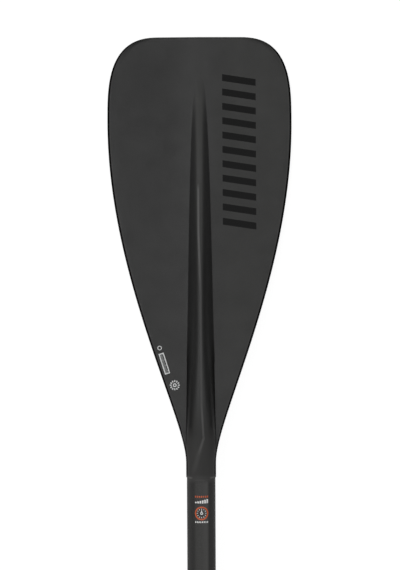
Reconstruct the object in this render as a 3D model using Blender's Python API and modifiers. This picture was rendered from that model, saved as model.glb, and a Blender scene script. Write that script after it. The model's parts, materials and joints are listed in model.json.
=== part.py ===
import math

import bmesh
import bpy
import numpy as np
from mathutils import Matrix, Vector

# driving dimensions of the blade, in metres
BLADE_LENGTH = 0.440
BLADE_HALF_WIDTH = 0.092
WIDEST_AT = 0.085
TIP_STRAIGHT_HALF = 0.0397
TIP_BOW_POWER = 3.1
TIP_CORNER_POWER = 2.6
SHOULDER_PULL = 0.154
NECK_PULL = 0.0467
NECK_STRAIGHT = 0.0145
NECK_RADIUS = 0.0149
BLADE_ANGLE = math.radians(10.0)
BEND_FAR = 0.140
BEND_NEAR = 0.048
DIHEDRAL = math.radians(2.0)
DIHEDRAL_SOFT = 0.010
PLATE_HALF_MIDDLE = 0.0026
PLATE_HALF_RIM = 0.0015
NECK_WEB_SWELL = 1.0
SPINE_START = 0.044
SPINE_FULL_BEFORE_LIP = 0.055
SPINE_RISE_POWER = 0.75
SPINE_HALF_START = 0.0030
SPINE_HALF_WIDE = 0.0142
SPINE_FLARE_POWER = 0.4
SPINE_WIDE_BEFORE_LIP = 0.080
SPINE_TUBE_BEFORE_LIP = 0.040
CROWN_FLATNESS = 2.4
CROWN_ROUND_FROM = 0.130
FOOT_SOFTNESS = 1.5
FOOT_FIRM_FROM = 0.270
TUBE_ROUND_POWER = 0.5
SPINE_ROUND_BEFORE_LIP = 0.060
BACK_SPINE_START = 0.180
BACK_FOOT_SOFTNESS = 1.3
BACK_SOFT_FROM = 0.200
WEB_SWELL_FAR = 0.090
WEB_SWELL_NEAR = 0.040
WEB_END_FAR = 0.038
WEB_END_NEAR = 0.008
DIHEDRAL_END_FAR = 0.190
DIHEDRAL_END_NEAR = 0.055
SKIN_THICK = 0.0007
NECK_SKIN_THICK = 0.00045
RIM_SOLID = 0.005
RIM_FADE_FAR = 0.140
RIM_FADE_NEAR = 0.050
SKIN_FADE_NEAR = 0.060
TIP_SHIFT_FROM = 0.060
TIP_SHIFT_TO = 0.100
SKIN_SEAM_GAP = 0.0002
CORE_CLEARANCE = 0.0003
CORE_NECK_CLEARANCE = 0.0009
CORE_FADE_FAR = 0.120
CORE_FADE_NEAR = 0.080
CORE_PLUG_GAP = 0.0005
TIP_ROWS = 11
TIP_ROW_POWER = 2.4
MIDDLE_ROWS = 8
NECK_ROWS = 11
NECK_ROWS_FROM = 0.135
COLUMN_CHANGE_FAR = 0.090
COLUMN_CHANGE_NEAR = 0.028

# driving dimensions of the shaft tubes
SHAFT_RADIUS = 0.01425
TUBE_WALL = 0.0015
SLIDE_CLEARANCE = 0.0002
SOCKET_DEPTH = 0.045
LOWER_EXPOSED = 0.400
GASKET_THICK = 0.0016
GASKET_GAP = 0.0002
FERRULE_IN_LOWER = 0.060
FLOAT_PLUG_DEPTH = 0.004
FLOAT_PLUG_LENGTH = 0.030
FERRULE_IN_MIDDLE = 0.090
MIDDLE_LENGTH = 0.718
UPPER_LENGTH = 0.640
UPPER_EXPOSED = 0.120
TUBE_STEPS = 40
PLUG_FLANGE_RADIUS = 0.0134
PLUG_FLANGE_THICK = 0.0018
PLUG_DEPTH = 0.015
GUIDE_FLANGE = 0.0030
GUIDE_DEPTH = 0.018
GUIDE_CHAMFER = 0.0008
CUT_THROUGH = 0.030
HOLE_CLEARANCE = 0.0001
ROUND_STEPS = 28

# press button of the demountable joint
BUTTON_BEYOND_SHOULDER = 0.045
BUTTON_RADIUS = 0.0040
BUTTON_HOLE_RADIUS = 0.0043
BUTTON_PROUD = 0.0025
BUTTON_FLANGE_RADIUS = 0.0050
BUTTON_FLANGE_THICK = 0.0010
BUTTON_FLANGE_TOP = 0.0094
SPRING_WIDTH = 0.0070
SPRING_THICK = 0.0008
BUTTON_DOME = 0.0016
SPRING_BEYOND_BUTTON = 0.007
FOLD_REACH = 0.038
FOLD_Z = -0.0010
FOLD_RADIUS = 0.0022

# clamp at the top of the middle tube
COLLAR_RADIUS = 0.0174
COLLAR_FIT = 0.00015
COLLAR_LENGTH = 0.030
COLLAR_LIP = 0.0045
COLLAR_SLIT = 0.0020
COLLAR_CHAMFER = 0.0008
SLIT_LENGTH = 0.026
EAR_CORNER = 0.0020
EAR_ROOT = 0.0150
SADDLE_HALF_LENGTH = 0.010
SADDLE_LOW = 0.0174
SADDLE_HIGH = 0.0260
EAR_OUTER = 0.0050
EAR_TOP = 0.0270
EAR_LENGTH = 0.026
EAR_CENTRE_BACK = 0.013
SCREW_HEIGHT = 0.0215
SCREW_RADIUS = 0.0020
SCREW_HOLE_RADIUS = 0.0023
SCREW_HEAD_RADIUS = 0.0037
SCREW_HEAD_THICK = 0.0030
SADDLE_THICK = 0.0010
TOUCH_GAP = 0.00015
CAM_RADIUS = 0.0051
CAM_THROW = 0.00075
LEVER_PIN_RADIUS = 0.0040
LEVER_WIDTH = 0.022
PIN_SHORTER = 0.0010
SCREW_BEYOND_PIN = 0.0030
THREAD_CHAMFER = 0.0004
SCREW_HEAD_CHAMFER = 0.0006
HEX_RADIUS = 0.0019
HEX_DEPTH = 0.0020
LEVER_BACK_RADIUS = 0.0262
FORK_SLOT_RADIUS = 0.0072
LEVER_ARM_INNER = 0.0184
LEVER_ARM_OUTER = 0.0218
LEVER_TIP_RADIUS = 0.0242
LEVER_FORK_SLOT = 0.0054
LEVER_TIP_ANGLE = -24.0
KEY_WIDTH = 0.0034
KEY_ROOT = 0.0012
KEY_CLEARANCE = 0.00025
KEY_END_GAP = 0.0003
GROOVE_WIDTH = 0.0040
GROOVE_DEPTH = 0.0008
GROOVE_STOP = 0.042

# handle
HANDLE_AXIS_BEYOND = 0.007
BAR_HALF_LENGTH = 0.0575
BAR_RADIUS = 0.0150
BAR_WAIST_RADIUS = 0.0138
BAR_END_FLAT = 0.0085
BAR_END_ROUND = 0.008
BAR_FULL_AT = 0.036
BAR_WAIST_AT = 0.020
BAR_TAPER = 0.0003
PALM_FLAT = 0.0115
PAD_HALF_LENGTH = 0.036
PAD_HALF_WIDTH = 0.0070
PAD_RECESS = 0.0020
PAD_PROUD = 0.0010
SOCKET_MOUTH = 0.044
SOCKET_RADIUS = 0.0147
MOUTH_ROUND = 0.0008
SLEEVE_START = 0.002
SOCKET_BORE_DEPTH = 0.060
PALM_CUT_REACH = 0.080
PAD_ROUND_STEPS = 10
RIVET_BEYOND_BAR = 0.030
WEB_FOOT = 0.0290
WEB_REACH = 0.0250
WEB_THICK = 0.0130
RIVET_RADIUS = 0.0020
RIVET_HEAD_RADIUS = 0.0036
RIVET_HEAD_THICK = 0.0012

for old in list(bpy.data.objects):
    bpy.data.objects.remove(old, do_unlink=True)

parts = bpy.data.collections.new("paddleboard_paddle")
cutters = bpy.data.collections.new("cutters")
bpy.context.scene.collection.children.link(parts)
bpy.context.scene.collection.children.link(cutters)

rest = bpy.data.objects.new("rest", None)
parts.objects.link(rest)


def material(name, colour, roughness, metallic=0.0):
    mat = bpy.data.materials.new(name)
    mat.use_nodes = True
    shader = mat.node_tree.nodes["Principled BSDF"]
    shader.inputs["Base Color"].default_value = (*colour, 1.0)
    shader.inputs["Roughness"].default_value = roughness
    shader.inputs["Metallic"].default_value = metallic
    return mat


def add_object(name, mesh, colour, roughness, metallic=0.0):
    obj = bpy.data.objects.new(name, mesh)
    mesh.materials.append(material(name, colour, roughness, metallic))
    parts.objects.link(obj)
    obj.parent = rest
    return obj


def add_cutter(name, mesh):
    obj = bpy.data.objects.new(name, mesh)
    cutters.objects.link(obj)
    obj.parent = rest
    obj.hide_render = True
    obj.display_type = "WIRE"
    return obj


def cut(obj, tool, operation="DIFFERENCE"):
    mod = obj.modifiers.new(operation.lower(), "BOOLEAN")
    mod.operation = operation
    mod.solver = "EXACT"
    mod.object = tool


def profile_mesh(name, points, closed):
    mesh = bpy.data.meshes.new(name)
    count = len(points)
    edges = [(i, i + 1) for i in range(count - 1)]
    if closed:
        edges.append((count - 1, 0))
    mesh.from_pydata([(r, 0.0, z) for r, z in points], edges, [])
    return mesh


def turn(obj, steps):
    mod = obj.modifiers.new("turned", "SCREW")
    mod.axis = "Z"
    mod.angle = math.tau
    mod.steps = steps
    mod.render_steps = steps
    mod.use_merge_vertices = True
    mod.merge_threshold = 0.00001
    return obj


def aim(obj, direction, origin):
    turned_to = Vector((0.0, 0.0, 1.0)).rotation_difference(Vector(direction))
    obj.matrix_local = Matrix.Translation(Vector(origin)) @ turned_to.to_matrix().to_4x4()


def tube_profile(inner, outer, low, high):
    return [(outer, high), (outer, low), (inner, low), (inner, high)]


def box_mesh(name, low, high):
    mesh = bpy.data.meshes.new(name)
    bm = bmesh.new()
    bmesh.ops.create_cube(bm, size=1.0)
    size = Vector(high) - Vector(low)
    middle = (Vector(high) + Vector(low)) / 2
    place = Matrix.Translation(middle) @ Matrix.Diagonal((*size, 1.0))
    bmesh.ops.transform(bm, matrix=place, verts=bm.verts)
    bm.to_mesh(mesh)
    bm.free()
    return mesh


def cylinder_mesh(name, radius, length, direction, centre, segments):
    mesh = bpy.data.meshes.new(name)
    bm = bmesh.new()
    bmesh.ops.create_cone(
        bm, cap_ends=True, segments=segments, radius1=radius, radius2=radius, depth=length
    )
    turned_to = Vector((0.0, 0.0, 1.0)).rotation_difference(Vector(direction)).to_matrix().to_4x4()
    bmesh.ops.transform(bm, matrix=Matrix.Translation(Vector(centre)) @ turned_to, verts=bm.verts)
    bm.to_mesh(mesh)
    bm.free()
    return mesh


def slab_mesh(name, outline, width, middle):
    mesh = bpy.data.meshes.new(name)
    bm = bmesh.new()
    near = [bm.verts.new((x, middle - width / 2, z)) for x, z in outline]
    far = [bm.verts.new((x, middle + width / 2, z)) for x, z in outline]
    bm.faces.new(near)
    bm.faces.new(list(reversed(far)))
    for i in range(len(outline)):
        j = (i + 1) % len(outline)
        bm.faces.new((near[j], near[i], far[i], far[j]))
    bmesh.ops.recalc_face_normals(bm, faces=bm.faces)
    bm.to_mesh(mesh)
    bm.free()
    return mesh


# blade outline and thickness; s runs from the tip to the neck lip, x across


def ease(value, low, high):
    t = min(max((value - low) / (high - low), 0.0), 1.0)
    return t * t * (3.0 - 2.0 * t)


def toward_lip(s, far, near):
    return ease(s, BLADE_LENGTH - far, BLADE_LENGTH - near)


def mix(a, b, share):
    return a + (b - a) * share


NECK_ROUND_AT = BLADE_LENGTH - NECK_STRAIGHT


def tip_half_width(s):
    u = 1.0 - min(max(s, 0.0), WIDEST_AT) / WIDEST_AT
    bow = (1.0 - u**TIP_BOW_POWER) ** (1.0 / TIP_CORNER_POWER)
    return TIP_STRAIGHT_HALF + (BLADE_HALF_WIDTH - TIP_STRAIGHT_HALF) * bow


def half_width(s):
    if s <= WIDEST_AT:
        return tip_half_width(s)
    if s >= NECK_ROUND_AT:
        return NECK_RADIUS
    along = (WIDEST_AT, WIDEST_AT + SHOULDER_PULL, NECK_ROUND_AT - NECK_PULL, NECK_ROUND_AT)
    low = 0.0
    high = 1.0
    for _ in range(40):
        t = (low + high) / 2
        u = 1.0 - t
        at = u**3 * along[0] + 3 * u * u * t * along[1] + 3 * u * t * t * along[2] + t**3 * along[3]
        if at < s:
            low = t
        else:
            high = t
    broad = u**3 + 3 * u * u * t
    return BLADE_HALF_WIDTH * broad + NECK_RADIUS * (1.0 - broad)


def tip_edge_at(x):
    if abs(x) <= TIP_STRAIGHT_HALF:
        return 0.0
    if abs(x) >= BLADE_HALF_WIDTH:
        return WIDEST_AT
    low = 0.0
    high = WIDEST_AT
    for _ in range(40):
        middle = (low + high) / 2
        if tip_half_width(middle) < abs(x):
            low = middle
        else:
            high = middle
    return low


# each layer is the blade's form moved inwards: outer surface, inside of the skins, foam core


def core_clearance(s):
    return mix(CORE_CLEARANCE, CORE_NECK_CLEARANCE, toward_lip(s, CORE_FADE_FAR, CORE_FADE_NEAR))


def rim_inset(s, layer):
    if layer == 0:
        return 0.0
    solid = mix(RIM_SOLID, NECK_SKIN_THICK, toward_lip(s, RIM_FADE_FAR, RIM_FADE_NEAR))
    return solid + (layer - 1) * core_clearance(s)


def wall_inset(s, layer):
    if layer == 0:
        return 0.0
    skin = mix(SKIN_THICK, NECK_SKIN_THICK, toward_lip(s, RIM_FADE_FAR, SKIN_FADE_NEAR))
    return skin + (layer - 1) * core_clearance(s)


def layer_shift(s, layer):
    return rim_inset(s, layer) * (1.0 - ease(s, TIP_SHIFT_FROM, TIP_SHIFT_TO))


def layer_half_width(s, layer):
    return half_width(max(s - layer_shift(s, layer), 0.0)) - rim_inset(s, layer)


def spine_half_width(s):
    full = BLADE_LENGTH - SPINE_WIDE_BEFORE_LIP
    reach = min(max((s - SPINE_START) / (full - SPINE_START), 0.0), 1.0)
    on_blade = mix(SPINE_HALF_START, SPINE_HALF_WIDE, reach**SPINE_FLARE_POWER)
    return mix(on_blade, NECK_RADIUS, toward_lip(s, SPINE_WIDE_BEFORE_LIP, SPINE_TUBE_BEFORE_LIP))


def spine_height(s):
    full = BLADE_LENGTH - SPINE_FULL_BEFORE_LIP
    reach = min(max((s - SPINE_START) / (full - SPINE_START), 0.0), 1.0)
    return mix(PLATE_HALF_MIDDLE, NECK_RADIUS, reach**SPINE_RISE_POWER)


def back_height(s):
    full = BLADE_LENGTH - SPINE_FULL_BEFORE_LIP
    return mix(PLATE_HALF_MIDDLE, NECK_RADIUS, ease(s, BACK_SPINE_START, full))


def crown_power(s):
    return mix(CROWN_FLATNESS, 2.0, ease(s, CROWN_ROUND_FROM, FOOT_FIRM_FROM))


def foot_power(s):
    round_at = BLADE_LENGTH - SPINE_ROUND_BEFORE_LIP
    return mix(FOOT_SOFTNESS, TUBE_ROUND_POWER, ease(s, FOOT_FIRM_FROM, round_at))


def back_foot_power(s):
    round_at = BLADE_LENGTH - SPINE_ROUND_BEFORE_LIP
    return mix(BACK_FOOT_SOFTNESS, TUBE_ROUND_POWER, ease(s, BACK_SOFT_FROM, round_at))


def plate_half(s, x, layer):
    width = layer_half_width(s, layer)
    share = min(abs(x) / width, 1.0)
    thick = mix(PLATE_HALF_MIDDLE, PLATE_HALF_RIM, share) - wall_inset(s, layer)
    thick = thick * (1.0 + NECK_WEB_SWELL * toward_lip(s, WEB_SWELL_FAR, WEB_SWELL_NEAR))
    thick = thick * (1.0 - toward_lip(s, WEB_END_FAR, WEB_END_NEAR))
    side = max(width - abs(x), 0.0)
    shifted = max(s - layer_shift(s, layer), 0.0)
    ahead = shifted - tip_edge_at(abs(x) + rim_inset(s, layer)) if s < WIDEST_AT else 1.0
    ahead = max(ahead, 0.0)
    away = side * ahead / math.hypot(side, ahead) if side + ahead > 0.0 else 0.0
    radius = PLATE_HALF_RIM
    if away < radius:
        thick = thick * math.sqrt(max(1.0 - (1.0 - away / radius) ** 2, 0.0))
    return thick


def spined(s, x, layer, height, crown, foot):
    plate = plate_half(s, x, layer)
    inset = wall_inset(s, layer)
    half = spine_half_width(s) - inset
    if abs(x) >= half:
        return plate
    return mix(plate, max(height - inset, plate), (1.0 - (abs(x) / half) ** crown) ** foot)


def face_lift(s, x, layer):
    return spined(s, x, layer, spine_height(s), crown_power(s), foot_power(s))


def back_lift(s, x, layer):
    return spined(s, x, layer, back_height(s), 2.0, back_foot_power(s))


def mid_surface(s, x):
    drop = math.tan(DIHEDRAL) * (math.hypot(x, DIHEDRAL_SOFT) - DIHEDRAL_SOFT)
    return -drop * (1.0 - toward_lip(s, DIHEDRAL_END_FAR, DIHEDRAL_END_NEAR))


# centre line of the blade: straight in the socket, then bent to the blade angle


def blade_lean(s):
    return BLADE_ANGLE * (1.0 - toward_lip(s, BEND_FAR, BEND_NEAR))


line_s = np.linspace(BLADE_LENGTH, 0.0, 881)
line_step = BLADE_LENGTH / 880
line_lean = np.array([blade_lean(s) for s in line_s])
line_y = np.concatenate([[0.0], np.cumsum(np.cos((line_lean[1:] + line_lean[:-1]) / 2) * line_step)])
line_z = np.concatenate([[0.0], -np.cumsum(np.sin((line_lean[1:] + line_lean[:-1]) / 2) * line_step)])


def blade_point(s, x, z):
    lean = blade_lean(s)
    y = float(np.interp(BLADE_LENGTH - s, BLADE_LENGTH - line_s, line_y))
    down = float(np.interp(BLADE_LENGTH - s, BLADE_LENGTH - line_s, line_z))
    return (x, y + z * math.sin(lean), down + z * math.cos(lean))


def columns(s, layer):
    width = layer_half_width(s, layer)
    spine = min(spine_half_width(s), width)
    side = max(width - spine, 0.0)
    foot = spine + 0.5 * min(side, 0.35 * spine)
    rim = min(PLATE_HALF_RIM, 0.3 * side)
    flat = width - rim - foot
    on_blade = [0.0, 0.24 * spine, 0.47 * spine, 0.68 * spine, 0.86 * spine, spine, foot]
    on_blade += [foot + 0.3 * flat, foot + 0.65 * flat, width - rim]
    on_blade += [width - 0.5 * rim, width - 0.12 * rim, width]
    last = len(on_blade) - 1
    on_neck = [width * math.sin(math.radians(90.0 * j / last)) for j in range(last + 1)]
    share = toward_lip(s, COLUMN_CHANGE_FAR, COLUMN_CHANGE_NEAR)
    half = [mix(a, b, share) for a, b in zip(on_blade, on_neck)]
    return [-x for x in reversed(half[1:])] + half


neck_rows_at = BLADE_LENGTH - NECK_ROWS_FROM
stations = [WIDEST_AT * (k / TIP_ROWS) ** TIP_ROW_POWER for k in range(TIP_ROWS)]
stations += [mix(WIDEST_AT, neck_rows_at, k / MIDDLE_ROWS) for k in range(MIDDLE_ROWS)]
stations += [mix(neck_rows_at, BLADE_LENGTH, k / NECK_ROWS) for k in range(NECK_ROWS + 1)]


def layer_stations(layer):
    return [s + rim_inset(0.0, layer) * max(1.0 - s / WIDEST_AT, 0.0) for s in stations]


def surface_rows(layer, lift, side, along):
    rows = []
    for s in along:
        row = []
        xs = columns(s, layer)
        for j, x in enumerate(xs):
            edge = j in (0, len(xs) - 1)
            height = 0.0 if edge else lift(s, x, layer)
            height += 0.0 if layer == 2 else SKIN_SEAM_GAP / 2
            row.append(blade_point(s, x, mid_surface(s, x) + side * height))
        rows.append(row)
    return rows


def add_grid(bm, rows, flip):
    verts = [[bm.verts.new(p) for p in row] for row in rows]
    for i in range(len(rows) - 1):
        for j in range(len(rows[0]) - 1):
            quad = (verts[i][j], verts[i][j + 1], verts[i + 1][j + 1], verts[i + 1][j])
            bm.faces.new(tuple(reversed(quad)) if flip else quad)
    return verts


def border(verts):
    loop = list(verts[0])
    loop += [row[-1] for row in verts[1:]]
    loop += list(reversed(verts[-1][:-1]))
    loop += [row[0] for row in reversed(verts[1:-1])]
    return loop


def skin_mesh(name, lift, side):
    bm = bmesh.new()
    outer = add_grid(bm, surface_rows(0, lift, side, layer_stations(0)), False)
    inner = add_grid(bm, surface_rows(1, lift, side, layer_stations(1)), True)
    outside = border(outer)
    inside = border(inner)
    for i in range(len(outside)):
        j = (i + 1) % len(outside)
        bm.faces.new((outside[j], outside[i], inside[i], inside[j]))
    bmesh.ops.recalc_face_normals(bm, faces=bm.faces)
    mesh = bpy.data.meshes.new(name)
    bm.to_mesh(mesh)
    bm.free()
    return mesh


# blade: two moulded skins over a foam core

add_object("blade_face_skin", skin_mesh("blade_face_skin", face_lift, 1), (0.040, 0.040, 0.040), 0.62)
add_object("blade_back_skin", skin_mesh("blade_back_skin", back_lift, -1), (0.040, 0.040, 0.040), 0.62)

core_end = BLADE_LENGTH - SOCKET_DEPTH - PLUG_FLANGE_THICK - CORE_PLUG_GAP
core_stations = [s for s in layer_stations(2) if s < core_end - CORE_PLUG_GAP] + [core_end]
bm = bmesh.new()
top = add_grid(bm, surface_rows(2, face_lift, 1, core_stations), False)
bottom = add_grid(bm, surface_rows(2, back_lift, -1, core_stations), True)
top_rim = border(top)
bottom_rim = border(bottom)
span = len(top[0])
first_cap = [(top[0][j], bottom[0][j]) for j in range(span)]
last_cap = [(top[-1][j], bottom[-1][j]) for j in range(span)]
for caps in (first_cap, last_cap):
    for j in range(span - 1):
        bm.faces.new((caps[j][0], caps[j + 1][0], caps[j + 1][1], caps[j][1]))
bmesh.ops.remove_doubles(bm, verts=bm.verts, dist=0.000002)
bmesh.ops.dissolve_degenerate(bm, edges=bm.edges, dist=0.000001)
bmesh.ops.recalc_face_normals(bm, faces=bm.faces)
core_mesh = bpy.data.meshes.new("blade_foam_core")
bm.to_mesh(core_mesh)
bm.free()
add_object("blade_foam_core", core_mesh, (0.72, 0.66, 0.48), 0.9)

# lower tube, bonded in the neck socket, with its end plug

BORE_RADIUS = SHAFT_RADIUS - TUBE_WALL
PLUG_RADIUS = BORE_RADIUS - TOUCH_GAP
ALONG = (0.0, 1.0, 0.0)


def turned_part(name, points, closed, colour, roughness, metallic=0.0, steps=TUBE_STEPS):
    obj = add_object(name, profile_mesh(name, points, closed), colour, roughness, metallic)
    turn(obj, steps)
    aim(obj, ALONG, (0.0, 0.0, 0.0))
    return obj


lower_end = -LOWER_EXPOSED
turned_part(
    "lower_shaft", tube_profile(BORE_RADIUS, SHAFT_RADIUS, lower_end, SOCKET_DEPTH), True,
    (0.045, 0.045, 0.045), 0.45,
)

flange_low = SOCKET_DEPTH + TOUCH_GAP
turned_part(
    "neck_plug",
    [
        (0.0, flange_low + PLUG_FLANGE_THICK),
        (PLUG_FLANGE_RADIUS, flange_low + PLUG_FLANGE_THICK),
        (PLUG_FLANGE_RADIUS, flange_low),
        (PLUG_RADIUS, flange_low),
        (PLUG_RADIUS, SOCKET_DEPTH - PLUG_DEPTH),
        (0.0, SOCKET_DEPTH - PLUG_DEPTH),
    ],
    False, (0.08, 0.08, 0.085), 0.6,
)

# joint between lower and middle tube: bonded ferrule, float plug, gasket, press button, leaf spring

FERRULE_RADIUS = BORE_RADIUS - SLIDE_CLEARANCE
FERRULE_BORE = FERRULE_RADIUS - TUBE_WALL
ferrule_top = lower_end + FERRULE_IN_LOWER
ferrule_low = lower_end - FERRULE_IN_MIDDLE
ferrule = turned_part(
    "joint_ferrule", tube_profile(FERRULE_BORE, FERRULE_RADIUS, ferrule_low, ferrule_top), True,
    (0.055, 0.055, 0.058), 0.4,
)
button_at = lower_end - BUTTON_BEYOND_SHOULDER
UPWARD = (0.0, 0.0, 1.0)
button_hole = add_cutter(
    "button_hole_cutter",
    cylinder_mesh(
        "button_hole_cutter", BUTTON_HOLE_RADIUS, CUT_THROUGH, UPWARD,
        (0.0, button_at, CUT_THROUGH / 2), ROUND_STEPS,
    ),
)
cut(ferrule, button_hole)

float_top = ferrule_top - FLOAT_PLUG_DEPTH
turned_part(
    "float_plug",
    [
        (0.0, float_top),
        (FERRULE_BORE - TOUCH_GAP, float_top),
        (FERRULE_BORE - TOUCH_GAP, float_top - FLOAT_PLUG_LENGTH),
        (0.0, float_top - FLOAT_PLUG_LENGTH),
    ],
    False, (0.75, 0.73, 0.66), 0.9,
)

gasket_top = lower_end - GASKET_GAP
gasket_low = gasket_top - GASKET_THICK
gasket_bore = FERRULE_RADIUS + SLIDE_CLEARANCE
turned_part(
    "joint_gasket", tube_profile(gasket_bore, SHAFT_RADIUS, gasket_low, gasket_top), True,
    (0.02, 0.02, 0.02), 0.75,
)

BUTTON_TOP = SHAFT_RADIUS + BUTTON_PROUD
button_points = [(0.0, BUTTON_TOP)]
for k in range(1, 6):
    swing = math.radians(18.0 * k)
    dome = BUTTON_TOP - BUTTON_DOME * (1 - math.cos(swing))
    button_points.append((BUTTON_RADIUS * math.sin(swing), dome))
button_points += [
    (BUTTON_RADIUS, BUTTON_FLANGE_TOP),
    (BUTTON_FLANGE_RADIUS, BUTTON_FLANGE_TOP),
    (BUTTON_FLANGE_RADIUS, BUTTON_FLANGE_TOP - BUTTON_FLANGE_THICK),
    (0.0, BUTTON_FLANGE_TOP - BUTTON_FLANGE_THICK),
]
STEEL = (0.55, 0.56, 0.58)
button_mesh = profile_mesh("snap_button", button_points, False)
button = add_object("snap_button", button_mesh, STEEL, 0.3, 1.0)
turn(button, ROUND_STEPS)
aim(button, UPWARD, (0.0, button_at, 0.0))

# leaf spring folded into a V inside the ferrule; its upper leg carries the button

leg_top = BUTTON_FLANGE_TOP - BUTTON_FLANGE_THICK - TOUCH_GAP
leg_low = -math.sqrt(FERRULE_BORE**2 - (SPRING_WIDTH / 2) ** 2) + TOUCH_GAP
fold_at = button_at + FOLD_REACH
spring_line = [
    (button_at - SPRING_BEYOND_BUTTON, leg_top - SPRING_THICK / 2),
    (button_at + SPRING_BEYOND_BUTTON, leg_top - SPRING_THICK / 2),
    (fold_at - FOLD_RADIUS, FOLD_Z + FOLD_RADIUS),
    (fold_at, FOLD_Z + FOLD_RADIUS / 2),
    (fold_at, FOLD_Z - FOLD_RADIUS / 2),
    (fold_at - FOLD_RADIUS, FOLD_Z - FOLD_RADIUS),
    (button_at + SPRING_BEYOND_BUTTON / 2, leg_low + SPRING_THICK / 2),
    (button_at - SPRING_BEYOND_BUTTON, leg_low + SPRING_THICK / 2),
]
left_side = []
right_side = []
for i, (y, z) in enumerate(spring_line):
    before = Vector(spring_line[max(i - 1, 0)])
    after = Vector(spring_line[min(i + 1, len(spring_line) - 1)])
    here = Vector((y, z))
    into = (here - before).normalized() if i > 0 else (after - here).normalized()
    out = (after - here).normalized() if i < len(spring_line) - 1 else into
    bisector = (into + out).normalized()
    normal = Vector((-bisector.y, bisector.x))
    stretch = 1.0 / max(normal.dot(Vector((-into.y, into.x))), 0.5)
    left_side.append(here + normal * SPRING_THICK / 2 * stretch)
    right_side.append(here - normal * SPRING_THICK / 2 * stretch)
spring_outline = left_side + list(reversed(right_side))
bm = bmesh.new()
near = [bm.verts.new((-SPRING_WIDTH / 2, p.x, p.y)) for p in spring_outline]
far = [bm.verts.new((SPRING_WIDTH / 2, p.x, p.y)) for p in spring_outline]
count = len(spring_line)
for i in range(count - 1):
    j = 2 * count - 1 - i
    bm.faces.new((near[i], near[i + 1], near[j - 1], near[j]))
    bm.faces.new((far[i], far[i + 1], far[j - 1], far[j]))
for i in range(2 * count):
    j = (i + 1) % (2 * count)
    bm.faces.new((near[i], near[j], far[j], far[i]))
bmesh.ops.recalc_face_normals(bm, faces=bm.faces)
spring_mesh = bpy.data.meshes.new("button_spring")
bm.to_mesh(spring_mesh)
bm.free()
add_object("button_spring", spring_mesh, (0.5, 0.5, 0.52), 0.3, 1.0)

# middle tube with the button hole at one end and the clamp slit at the other

middle_top = gasket_low - GASKET_GAP
middle_end = middle_top - MIDDLE_LENGTH
middle = turned_part(
    "middle_shaft", tube_profile(BORE_RADIUS, SHAFT_RADIUS, middle_end, middle_top), True,
    (0.045, 0.045, 0.045), 0.45,
)
cut(middle, button_hole)
middle_slit = add_cutter(
    "middle_slit_cutter",
    box_mesh(
        "middle_slit_cutter",
        (-COLLAR_SLIT / 2, middle_end - CUT_THROUGH, BORE_RADIUS / 2),
        (COLLAR_SLIT / 2, middle_end + SLIT_LENGTH, CUT_THROUGH),
    ),
)
cut(middle, middle_slit)

# split clamp collar with two ears, moulded in one piece with its end lip and alignment key

collar_low = middle_end - COLLAR_LIP
collar_high = middle_end + COLLAR_LENGTH
lip_high = middle_end - TOUCH_GAP * 2
collar = turned_part(
    "clamp_collar",
    [
        (COLLAR_RADIUS - COLLAR_CHAMFER, collar_high),
        (COLLAR_RADIUS, collar_high - COLLAR_CHAMFER),
        (COLLAR_RADIUS, collar_low + COLLAR_CHAMFER),
        (COLLAR_RADIUS - COLLAR_CHAMFER, collar_low),
        (FERRULE_RADIUS + SLIDE_CLEARANCE, collar_low),
        (FERRULE_RADIUS + SLIDE_CLEARANCE, lip_high),
        (SHAFT_RADIUS + COLLAR_FIT, lip_high),
        (SHAFT_RADIUS + COLLAR_FIT, collar_high),
    ],
    True, (0.03, 0.03, 0.032), 0.5,
)
ear_at = middle_end + EAR_CENTRE_BACK
ear_outline = [
    (-EAR_OUTER, EAR_ROOT),
    (EAR_OUTER, EAR_ROOT),
    (EAR_OUTER, EAR_TOP - EAR_CORNER),
    (EAR_OUTER - EAR_CORNER, EAR_TOP),
    (-EAR_OUTER + EAR_CORNER, EAR_TOP),
    (-EAR_OUTER, EAR_TOP - EAR_CORNER),
]
ears = add_cutter("ear_block", slab_mesh("ear_block", ear_outline, EAR_LENGTH, ear_at))
cut(collar, ears, "UNION")
key_low = -(FERRULE_RADIUS + SLIDE_CLEARANCE + KEY_ROOT)
key_high = -(FERRULE_RADIUS - GROOVE_DEPTH + KEY_CLEARANCE)
key = add_cutter(
    "key_block",
    box_mesh(
        "key_block",
        (-KEY_WIDTH / 2, collar_low + KEY_END_GAP, key_low),
        (KEY_WIDTH / 2, lip_high - KEY_END_GAP, key_high),
    ),
)
cut(collar, key, "UNION")
collar_slit = add_cutter(
    "collar_slit_cutter",
    box_mesh(
        "collar_slit_cutter",
        (-COLLAR_SLIT / 2, collar_low - CUT_THROUGH, BORE_RADIUS / 2),
        (COLLAR_SLIT / 2, collar_high + CUT_THROUGH, EAR_TOP + CUT_THROUGH),
    ),
)
cut(collar, collar_slit)
ACROSS = (1.0, 0.0, 0.0)
screw_line = (0.0, ear_at, SCREW_HEIGHT)
screw_hole = add_cutter(
    "screw_hole_cutter",
    cylinder_mesh("screw_hole_cutter", SCREW_HOLE_RADIUS, CUT_THROUGH, ACROSS, screw_line, ROUND_STEPS),
)
cut(collar, screw_hole)

# cam saddle, lever pin, clamp screw and lever

saddle_in = EAR_OUTER + TOUCH_GAP
saddle_out = saddle_in + SADDLE_THICK
saddle = add_object(
    "cam_saddle",
    box_mesh(
        "cam_saddle",
        (saddle_in, ear_at - SADDLE_HALF_LENGTH, SADDLE_LOW),
        (saddle_out, ear_at + SADDLE_HALF_LENGTH, SADDLE_HIGH),
    ),
    STEEL, 0.3, 1.0,
)
cut(saddle, screw_hole)

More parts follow.
